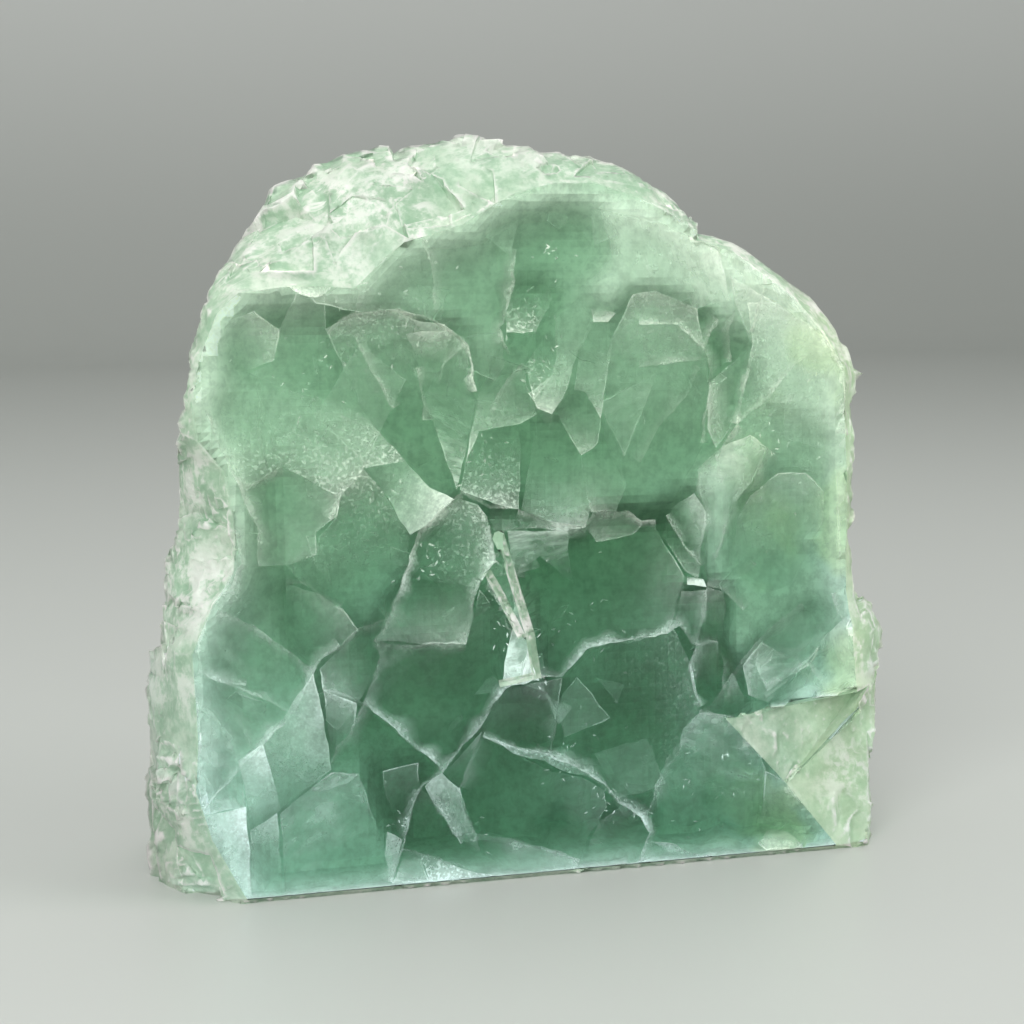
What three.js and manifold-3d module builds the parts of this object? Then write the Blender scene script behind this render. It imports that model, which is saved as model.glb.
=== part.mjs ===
// A fluorite freeform: one thick slab of green fluorite that stands on a flat sawn foot.
// Its front is one flat polished face. All round the face the stone is left as it broke, with
// cleavage facets, ledges and chips, and its back is rough.
// Millimetres, +Z up, polished face towards -Y, origin under the middle of the stone.
import * as THREE from "three";
import { ImprovedNoise } from "three/addons/math/ImprovedNoise.js";
import { mergeVertices } from "three/addons/utils/BufferGeometryUtils.js";
import Module from "manifold-3d";

const wasm = await Module();
wasm.setup();

// ---- Driving dimensions ----

// The slab, which gets thinner towards its top.
const FACE_AT_FOOT = -22; // y of the polished face at the foot
const FACE_LEAN = 0.07; // how far the face leans back for each mm up
const BACK_AT_FOOT = 22; // y of the back at the foot
const BACK_LEAN = -0.075; // how far the back leans forward for each mm up
const HEART = new THREE.Vector3(0, 2, 52); // the middle of the stone, which its rim is drawn about
const SAW_SKIRT = 8; // stone below the foot, which the saw takes off

// The rim, from the foot at the left over the top and down to the foot at the right: x and z of
// the widest outline, how far that lies behind the face, and how far the face stops short of it.
const RIM = [
  [-64, -SAW_SKIRT, 22, 17],
  [-63.4, 5, 22, 10],
  [-64.7, 15, 21, 8],
  [-63.3, 24, 20, 6.7],
  [-62.6, 40, 17, 5],
  [-61.2, 48, 15, 7],
  [-60, 54, 14, 9.2],
  [-59.2, 60, 13, 9],
  [-59, 67, 12, 8.4],
  [-58.4, 72, 10, 7],
  [-58.8, 76, 6, 3.4],
  [-57.6, 81, 3, 1.2],
  [-56.2, 87.8, 3, 1.2],
  [-53.8, 95.6, 4, 1.8],
  [-51, 100, 7, 3.2],
  [-47, 106, 11, 9.6],
  [-40, 113.8, 15, 18.4],
  [-33, 120, 16, 18.6],
  [-28.3, 122, 16, 17.6],
  [-15, 123.6, 15, 15.4],
  [-4, 124, 14, 10.6],
  [4, 122.4, 13, 7.2],
  [12, 120.6, 12, 5.4],
  [20, 117.6, 11, 4.8],
  [27.8, 114, 10, 5],
  [30.8, 111.2, 9, 4.2],
  [29.8, 108, 8, 2.2],
  [37, 106.4, 7, 3],
  [43.4, 102.7, 7, 3.4],
  [49.2, 99, 7, 4],
  [55.4, 93, 7, 4.4],
  [61, 87.6, 7, 6.4],
  [62.6, 84.6, 7, 7.4],
  [59.8, 78, 6, 4.6],
  [59.1, 66, 6, 3.2],
  [58.4, 53, 6, 2.8],
  [60, 45, 6, 4.4],
  [65, 40.4, 8, 9],
  [66.6, 37, 9, 10],
  [65.6, 30, 9, 9],
  [64.4, 19, 8, 7],
  [64.4, 10, 7, 6],
  [62.4, 3, 6, 5.2],
  [61.6, -SAW_SKIRT, 6, 4],
  [40, -SAW_SKIRT, 8, 3],
  [0, -SAW_SKIRT, 8, 3],
  [-48, -SAW_SKIRT, 8, 3],
];
const RIM_STEP = 5.4; // spacing of the sections along the rim

// One section of the rim. In front of the widest outline: share of the way back to it, and share
// of the face's shortfall that is left. Behind it: share of the way on to the back, and how far
// the stone has drawn in by there.
const FRONT_ROUNDING = [
  [0, 1],
  [0.25, 0.58],
  [0.6, 0.22],
  [1, 0],
];
const BACK_ROUNDING = [
  [0.26, 0.8],
  [0.5, 2.4],
  [0.72, 5.5],
  [0.88, 10.5],
  [0.97, 17],
];
const BACK_RINGS = 5; // smaller and smaller rings over the back, the first being the back edge
const BACK_DOME = 2.5; // how far the middle of the back stands out

// Unevenness of the rim and the back.
const LUMP = { size: 11, height: 1.5 };
const GRAIN = { size: 4.3, height: 0.5, offset: 40 };
const PUSH_THROUGH_SLAB = 1.6; // how much of that goes to the slab's thickness

// Fluorite parts along the faces of an octahedron, which lies turned and tipped in this slab.
const CRYSTAL_TURN = 0.62;
const CRYSTAL_TIP = 0.5;

// Where the stone broke, as runs of cleavage facets: how many, on which rings of the skin (0 is
// the edge of the face), between which x and z, how wide and deep, how far each may lean from the
// skin, how much it follows the crystal's own directions, how far it may be turned past a sixth
// of a turn, and how many sides it may have.
const BREAKS = {
  rim: {
    seed: 11, many: 64, rings: [3, 8], x: [-70, 70], z: [2, 130],
    size: [22, 46], depth: [0.5, 1.5], lean: 0.12, cleavage: 0.3, twist: 6, sides: [3, 4, 5],
  },
  back: {
    seed: 23, many: 60, rings: [8, 13], x: [-70, 70], z: [2, 125],
    size: [16, 50], depth: [0.3, 1.6], lean: 0.04, cleavage: 0.3, twist: 0.3, sides: [3, 3, 6],
  },
  brokenShoulder: {
    seed: 37, many: 34, rings: [0, 4], x: [-50, -14], z: [98, 125],
    size: [9, 20], depth: [0.4, 1.5], lean: 0.14, cleavage: 0.4, twist: 6, sides: [3, 4, 5],
  },
  leftChip: {
    seed: 43, many: 12, rings: [0, 4], x: [-64, -50], z: [44, 74],
    size: [9, 18], depth: [0.3, 1.0], lean: 0.12, cleavage: 0.25, twist: 6, sides: [3, 4, 5],
  },
  leftCorner: {
    seed: 47, many: 9, rings: [0, 4], x: [-66, -48], z: [2, 24],
    size: [10, 20], depth: [0.3, 0.9], lean: 0.22, cleavage: 0.3, twist: 6, sides: [3, 4, 5],
  },
  topEdge: {
    seed: 57, many: 18, rings: [1, 4], x: [-12, 34], z: [104, 125],
    size: [8, 17], depth: [0.3, 0.9], lean: 0.13, cleavage: 0.3, twist: 6, sides: [3, 4, 5],
  },
  rightBulge: {
    seed: 61, many: 12, rings: [1, 5], x: [52, 70], z: [4, 46],
    size: [8, 16], depth: [0.3, 1.0], lean: 0.14, cleavage: 0.3, twist: 6, sides: [3, 4, 5],
  },
};
const FACET_ASPECT = 0.75; // how much of its width a facet has across
const FACET_FLARE = 1.9; // how much wider the prism that breaks it off is at its outer end
const FACET_REACH = 30; // how far out from the stone that prism goes
const FACE_GUARD = 1.1; // stone that a facet leaves behind the polished face
const FACE_MARGIN = 0.012; // where that begins, as a share of the way in from the face's edge
const MOST_TRIES = 4000; // for one run of facets

// The shell-shaped chip off the lower right corner of the face: its edge on the face as [x, z],
// how steeply it falls away from there, and the ledge that ends it above.
const CHIP_EDGE = [
  [33, 24.5],
  [44, 12.6],
  [55.4, -1.5],
];
const CHIP_SLOPE = 0.24;
const CHIP_REACH = 44;
const CHIP_LEDGE = [
  [33, 24.6],
  [64, 28.5],
];

// Narrow open cracks in the face, as [x, z] points along each.
const CRACKS = [
  { depth: 0.7, path: [[-8.8, 51.6], [-6.6, 47.6], [-3.4, 41]] },
  { depth: 0.8, path: [[-6.8, 58], [-4.2, 49.2], [-1.8, 41], [-0.8, 34]] },
  { depth: 0.6, path: [[-7, 33.2], [-0.8, 34.2]] },
];

const PIT_AT = [3, 119]; // a small pit in the top edge
const PIT_RADIUS = 2;
const FOOT_BEVEL = 0.9; // where the polished face meets the foot
const CUTTER = 200; // larger than the stone

// ---- Helpers ----

const noise = new ImprovedNoise();
const SIXTH_TURN = Math.PI / 3;
const faceY = (z) => FACE_AT_FOOT + FACE_LEAN * z;
const backY = (z) => BACK_AT_FOOT + BACK_LEAN * z;
const onFace = ([x, z]) => new THREE.Vector3(x, faceY(z), z);
const outOfFace = new THREE.Vector3(0, -1, FACE_LEAN).normalize();

// A repeatable stream of numbers from 0 to 1 (the mulberry32 generator).
function randomStream(seed) {
  let state = seed;
  return () => {
    state = (state + 0x6d2b79f5) | 0;
    let mixed = Math.imul(state ^ (state >>> 15), 1 | state);
    mixed = (mixed + Math.imul(mixed ^ (mixed >>> 7), 61 | mixed)) ^ mixed;
    return ((mixed ^ (mixed >>> 14)) >>> 0) / 2 ** 32;
  };
}

const between = (random, [low, high]) => low + (high - low) * random();
const isWithin = (value, [low, high]) => value > low && value < high;

// A closed geometry as a solid that can be cut.
function solidOf(geometry) {
  const bare = geometry.clone();
  bare.deleteAttribute("normal");
  bare.deleteAttribute("uv");
  const merged = mergeVertices(bare, 1e-4);
  return new wasm.Manifold(
    new wasm.Mesh({
      numProp: 3,
      vertProperties: new Float32Array(merged.attributes.position.array),
      triVerts: new Uint32Array(merged.index.array),
    }),
  );
}

function geometryOf(solid) {
  const mesh = solid.getMesh();
  const geometry = new THREE.BufferGeometry();
  geometry.setAttribute("position", new THREE.BufferAttribute(mesh.vertProperties, 3));
  geometry.setIndex(new THREE.BufferAttribute(mesh.triVerts, 1));
  return geometry;
}

// ---- The unbroken skin ----

// Stations spaced along the rim, each with its outline point, set-back and shortfall.
function rimStations() {
  const stations = [];
  RIM.forEach((row, i) => {
    const next = RIM[(i + 1) % RIM.length];
    const run = Math.hypot(next[0] - row[0], next[1] - row[1]);
    const steps = Math.max(1, Math.round(run / RIM_STEP));
    for (let k = 0; k < steps; k++) {
      const [x, z, setback, bevel] = row.map((v, column) => v + ((next[column] - v) * k) / steps);
      stations.push({ x, z, setback, bevel });
    }
  });
  return stations;
}

// The point of the skin at a station, drawn in towards the heart and set behind the face.
function skinPoint(station, inset, depth) {
  const toHeart = new THREE.Vector2(HEART.x - station.x, HEART.z - station.z);
  const { x, y: rise } = toHeart.setLength(Math.min(inset, toHeart.length()));
  const z = station.z + rise;
  return new THREE.Vector3(station.x + x, faceY(z) + depth, z);
}

// One section of the skin, from the edge of the polished face round the rim to the back edge.
function section(station) {
  const height = Math.max(station.z, 0);
  const wayBack = backY(height) - faceY(height) - station.setback;
  const front = FRONT_ROUNDING.map(([way, short]) =>
    skinPoint(station, short * station.bevel, way * station.setback),
  );
  const back = BACK_ROUNDING.map(([way, inset]) =>
    skinPoint(station, inset, station.setback + way * wayBack),
  );
  return [...front, ...back];
}

// Broad lumps and a smaller grain, pushed out along the way from the heart.
function roughen(point) {
  const { x, y, z } = point;
  const lump = noise.noise(x / LUMP.size, y / LUMP.size, z / LUMP.size);
  const grain = noise.noise(x / GRAIN.size, y / GRAIN.size, GRAIN.offset + z / GRAIN.size);
  const outwards = point.clone().sub(HEART);
  outwards.y *= PUSH_THROUGH_SLAB;
  outwards.normalize();
  return point.addScaledVector(outwards, lump * LUMP.height + grain * GRAIN.height);
}

// Rings over the back, from the back edge in towards its middle.
function backRings(edge, middle) {
  return Array.from({ length: BACK_RINGS - 1 }, (_, k) => {
    const share = (k + 1) / BACK_RINGS;
    return edge.map((point) => {
      const p = point.clone().lerp(middle, share);
      p.y = THREE.MathUtils.lerp(point.y, backY(p.z) + BACK_DOME * share, Math.sqrt(share));
      return p;
    });
  });
}

// The skin as a closed shell, and the rings it is made of: first the edge of the polished face,
// then round the rim and over the back. One point in the middle of each side closes it.
function unbrokenStone() {
  const sections = rimStations().map(section);
  const rings = sections[0].map((_, k) => sections.map((points) => points[k]));
  const backMiddle = new THREE.Vector3(HEART.x, backY(HEART.z) + BACK_DOME, HEART.z);
  rings.push(...backRings(rings[rings.length - 1], backMiddle));
  rings.slice(1).flat().forEach(roughen);

  const count = sections.length;
  const points = [...rings.flat(), onFace([HEART.x, HEART.z]), roughen(backMiddle)];
  const [faceTip, backTip] = [points.length - 2, points.length - 1];
  const last = (rings.length - 1) * count;
  const index = [];
  for (let i = 0; i < count; i++) {
    const j = (i + 1) % count;
    index.push(faceTip, j, i);
    for (let ring = 0; ring < last; ring += count) {
      index.push(ring + i, ring + j, ring + i + count);
      index.push(ring + j, ring + j + count, ring + i + count);
    }
    index.push(last + i, last + j, backTip);
  }
  const geometry = new THREE.BufferGeometry().setFromPoints(points);
  geometry.setIndex(index);
  return { skin: solidOf(geometry), rings };
}

// The outward direction of the skin at a point of its rings, from the points around it.
function skinNormal(rings, k, i) {
  const count = rings[k].length;
  const along = rings[k][(i + 1) % count].clone().sub(rings[k][(i + count - 1) % count]);
  const [before, after] = [Math.max(k - 1, 0), Math.min(k + 1, rings.length - 1)];
  const across = rings[after][i].clone().sub(rings[before][i]);
  return along.cross(across).normalize();
}

// ---- Cleavage facets ----

// The eight outward directions that the crystal parts along.
function cleavageDirections() {
  const lie = new THREE.Euler(CRYSTAL_TIP, 0, CRYSTAL_TURN, "ZXY");
  const signs = [-1, 1];
  return signs.flatMap((x) =>
    signs.flatMap((y) =>
      signs.map((z) => new THREE.Vector3(x, y, z).normalize().applyEuler(lie)),
    ),
  );
}

// A flared prism whose underside lies at a point, square to a direction and spun about it.
function prismOver(point, outwards, [width, height], sides, spin) {
  const prism = new THREE.CylinderGeometry(FACET_FLARE / 2, 1 / 2, FACET_REACH, sides);
  prism.rotateX(Math.PI / 2);
  prism.translate(0, 0, FACET_REACH / 2);
  prism.scale(width, height, 1);
  prism.rotateZ(spin);
  const turn = new THREE.Quaternion().setFromUnitVectors(new THREE.Vector3(0, 0, 1), outwards);
  prism.applyQuaternion(turn);
  prism.translate(point.x, point.y, point.z);
  return prism;
}

// A thin plate of stone at the polished face, which no facet may cut.
function facePlate(edge) {
  const layers = [-FACE_GUARD, FACE_GUARD].map((offset) =>
    [...edge, onFace([HEART.x, HEART.z])].map((point) => {
      const inside = point.clone().lerp(HEART, FACE_MARGIN);
      inside.y = faceY(inside.z) + offset;
      return inside;
    }),
  );
  const count = edge.length;
  const [front, back] = [count, 2 * count + 1];
  const index = [];
  for (let i = 0; i < count; i++) {
    const j = (i + 1) % count;
    const [behind, behindNext] = [i + count + 1, j + count + 1];
    index.push(front, j, i, back, behind, behindNext, i, j, behind, j, behindNext, behind);
  }
  const geometry = new THREE.BufferGeometry().setFromPoints(layers.flat());
  geometry.setIndex(index);
  return solidOf(geometry);
}

// The prisms that break one run of facets off the skin, at places from a seeded stream.
function facetPrisms(rings, run) {
  const random = randomStream(run.seed);
  const directions = cleavageDirections();
  const plate = facePlate(rings[0]);
  const prisms = [];
  for (let tries = 0; prisms.length < run.many && tries < MOST_TRIES; tries++) {
    const k = Math.floor(between(random, run.rings));
    const i = Math.floor(random() * rings[k].length);
    const lean = new THREE.Vector3(random() - 0.5, random() - 0.5, random() - 0.5);
    const size = [between(random, run.size), between(random, run.size) * FACET_ASPECT];
    const spin = Math.floor(random() * 6) * SIXTH_TURN + random() * run.twist;
    const sides = run.sides[Math.floor(random() * run.sides.length)];
    const depth = between(random, run.depth);
    const point = rings[k][i].clone();
    if (!isWithin(point.x, run.x) || !isWithin(point.z, run.z)) continue;

    const outwards = skinNormal(rings, k, i).addScaledVector(lean, 2 * run.lean).normalize();
    const nearest = directions.reduce((a, b) => (b.dot(outwards) > a.dot(outwards) ? b : a));
    outwards.lerp(nearest, run.cleavage).normalize();
    point.addScaledVector(outwards, -depth);
    const prism = solidOf(prismOver(point, outwards, size, sides, spin));
    if (prism.intersect(plate).isEmpty()) prisms.push(prism);
  }
  return prisms;
}

// ---- The chip, the cracks, the pit and the foot ----

// A block with a lower edge on the line from a to b, whose underside falls away into the stone
// on the upper right of that line.
function fallingBlock(a, b) {
  const along = b.clone().sub(a);
  const length = along.length();
  along.normalize();
  const outwards = outOfFace.clone().applyAxisAngle(along, -Math.atan(CHIP_SLOPE));
  const across = outwards.clone().cross(along);
  const block = new THREE.BoxGeometry(length, CHIP_REACH, CHIP_REACH);
  block.translate(length / 2, CHIP_REACH / 2, CHIP_REACH / 2);
  block.applyMatrix4(new THREE.Matrix4().makeBasis(along, across, outwards).setPosition(a));
  return solidOf(block);
}

function cornerChip() {
  const [top, bend, foot] = CHIP_EDGE.map(onFace);
  const [from, to] = CHIP_LEDGE.map(onFace);
  const above = new THREE.BoxGeometry(CUTTER, CUTTER, CUTTER);
  above.translate(0, 0, CUTTER / 2);
  above.rotateY(-Math.atan2(to.z - from.z, to.x - from.x));
  above.translate(from.x, from.y, from.z);
  return fallingBlock(top, bend).add(fallingBlock(bend, foot)).subtract(solidOf(above));
}

// A long square bar along X with an edge straight down, which cuts a groove or a bevel.
function cornerDownBar(length, depth) {
  const side = depth * Math.SQRT2;
  return new THREE.BoxGeometry(length, side, side).rotateX(Math.PI / 4);
}

function crackGrooves() {
  return CRACKS.flatMap(({ path, depth }) =>
    path.slice(1).map((end, k) => {
      const [a, b] = [onFace(path[k]), onFace(end)];
      const along = b.clone().sub(a);
      const bar = cornerDownBar(along.length() + depth, depth);
      const across = outOfFace.clone().cross(along.normalize());
      const lie = new THREE.Matrix4().makeBasis(along, across, outOfFace);
      bar.applyMatrix4(lie.setPosition(a.lerp(b, 0.5)));
      return solidOf(bar);
    }),
  );
}

function topPit(rings) {
  const [x, z] = PIT_AT;
  const away = (p) => Math.hypot(p.x - x, p.z - z);
  const spot = rings.slice(1, 4).flat().reduce((a, b) => (away(b) < away(a) ? b : a));
  const ball = new THREE.IcosahedronGeometry(PIT_RADIUS, 1);
  ball.translate(spot.x, spot.y - PIT_RADIUS / 2, spot.z);
  return solidOf(ball);
}

function footBevel() {
  const bar = cornerDownBar(CUTTER, FOOT_BEVEL);
  bar.translate(0, FACE_AT_FOOT, 0);
  return solidOf(bar);
}

function footSaw() {
  const saw = new THREE.BoxGeometry(CUTTER, CUTTER, CUTTER);
  saw.translate(0, 0, -CUTTER / 2);
  return solidOf(saw);
}

// ---- The stone ----

function brokenStone() {
  const { skin, rings } = unbrokenStone();
  const facets = Object.values(BREAKS).flatMap((run) => facetPrisms(rings, run));
  const cutters = [...facets, cornerChip(), ...crackGrooves(), topPit(rings), footSaw(), footBevel()];
  const cut = cutters.reduce((stone, cutter) => stone.subtract(cutter), skin);
  // A cut can leave a loose crumb beside the stone: only the largest body is the stone.
  return cut.decompose().reduce((a, b) => (b.volume() > a.volume() ? b : a));
}

const geometry = geometryOf(brokenStone());
geometry.computeBoundingBox();
const middle = geometry.boundingBox.getCenter(new THREE.Vector3());
geometry.translate(-middle.x, -middle.y, 0);

const fluorite = new THREE.Mesh(
  geometry,
  new THREE.MeshStandardMaterial({ color: 0x86b89a, roughness: 0.25, metalness: 0 }),
);
fluorite.name = "fluorite";

const group = new THREE.Group();
group.add(fluorite);

export default group;
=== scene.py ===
"""A fluorite freeform: a slab of green fluorite, polished on its front and broken all round it.

The stone is one piece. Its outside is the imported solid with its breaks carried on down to
crumbs, and inside it hang the veils: the healed cleavage cracks that part it into grains.
Metres; the plans of grains and veils are millimetres on the polished face, x and height."""

import math
import random

import bmesh
import bpy
import numpy as np
from mathutils import Euler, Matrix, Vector, noise
from mathutils.bvhtree import BVHTree
from mathutils.geometry import delaunay_2d_cdt
from mathutils.kdtree import KDTree


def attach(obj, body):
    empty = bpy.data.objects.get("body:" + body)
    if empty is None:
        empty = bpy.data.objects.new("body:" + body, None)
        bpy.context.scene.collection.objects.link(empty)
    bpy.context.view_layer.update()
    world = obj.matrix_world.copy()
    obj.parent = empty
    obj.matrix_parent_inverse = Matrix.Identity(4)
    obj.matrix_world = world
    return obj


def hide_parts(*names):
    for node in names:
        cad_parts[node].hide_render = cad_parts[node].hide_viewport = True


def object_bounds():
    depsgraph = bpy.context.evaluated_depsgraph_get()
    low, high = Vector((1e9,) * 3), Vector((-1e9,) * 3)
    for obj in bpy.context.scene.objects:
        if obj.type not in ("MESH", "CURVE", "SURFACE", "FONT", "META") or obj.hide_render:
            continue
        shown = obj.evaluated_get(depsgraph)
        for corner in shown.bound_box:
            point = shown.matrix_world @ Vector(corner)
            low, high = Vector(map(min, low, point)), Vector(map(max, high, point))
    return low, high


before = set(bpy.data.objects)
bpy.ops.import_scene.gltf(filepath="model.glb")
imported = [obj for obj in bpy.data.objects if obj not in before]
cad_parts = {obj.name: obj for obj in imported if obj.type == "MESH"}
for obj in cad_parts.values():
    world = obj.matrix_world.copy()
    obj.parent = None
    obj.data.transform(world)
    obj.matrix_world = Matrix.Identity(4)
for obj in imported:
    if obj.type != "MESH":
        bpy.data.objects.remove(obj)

CAD_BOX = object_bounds()
MM = 0.001

# ---- The stone's own frame ----
FACE_AT_FOOT = -21.981  # y of the polished face at the foot, mm
FACE_LEAN = 0.07  # how far the face leans back for each mm up
FACE_OUT = Vector((0, -1, FACE_LEAN)).normalized()
CRYSTAL_TURN = 0.62  # how the octahedron that fluorite parts along lies in this slab
CRYSTAL_TIP = 0.5
IOR = 1.434

# ---- The camera ----
CAMERA_AT = Vector((-0.09648, -0.33035, 0.10729))
CAMERA_DOWN = 8.0  # degrees
CAMERA_TURN = 16.11
LENS = 70.0

# ---- The table, metres ----
TABLE_SIZE, TABLE_BACK = 3.0, 0.3  # how wide it is, and how far behind the stone its middle lies
BACK_EDGE = 1.0  # its back edge lies past this y
WALL_HEIGHT, COVE, COVE_STEPS = 2.0, 0.5, 12  # it rises this high at the back, out of a round cove

# ---- The broken skin, mm ----
CRUMB_EDGES = (1.0, 2.0)  # longest edge of the broken skin's mesh, near the face and behind
FRONT_SHARE_Y = -6.0  # y that parts the two
MOST_SPLITS = 6  # how often an edge is halved at most
RIM_CALM, RIM_CALM_FROM = 0.6, (78, 94)  # how much smoother the very top is, and over which heights
FACE_GRID = 3.0  # spacing of the points over the polished face
FLAT_TURN, FLAT_NEAR = 0.9995, 0.02  # a flat face's normal agrees this well, and it lies this near
CLEAVED_PATCH = 8.5  # width of a patch that parts along one direction
NEAREST_SHARE = 0.6  # share of the patches that part along the direction nearest to their normal
STEP_LEAST, STEP_MORE = 1.1, 1.6  # height of the lowest cleavage step, and how much higher they get
STEP_FLAT = 0.72  # share of a step that lies flat before it rises
STEP_OUT = 0.36  # how far out the steps stand, in steps
PATCH_SEAM = 0.12  # how wide the seams are that are left between the patches, in patches
COARSE_CRUMB, FINE_CRUMB = (4.2, 0.16), (1.1, 0.09)  # width and height of the crumbs
WORN_RIM = 0.45  # how strong the steps are at the rim of the polished face
SUNK = 0.04  # how far the broken skin stays under the flats
CREST_GAIN = 6  # how soon an edge counts as a crest
PALE_FADE = (0.3, 1.3)  # over which part of its radius a pale patch fades

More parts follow.
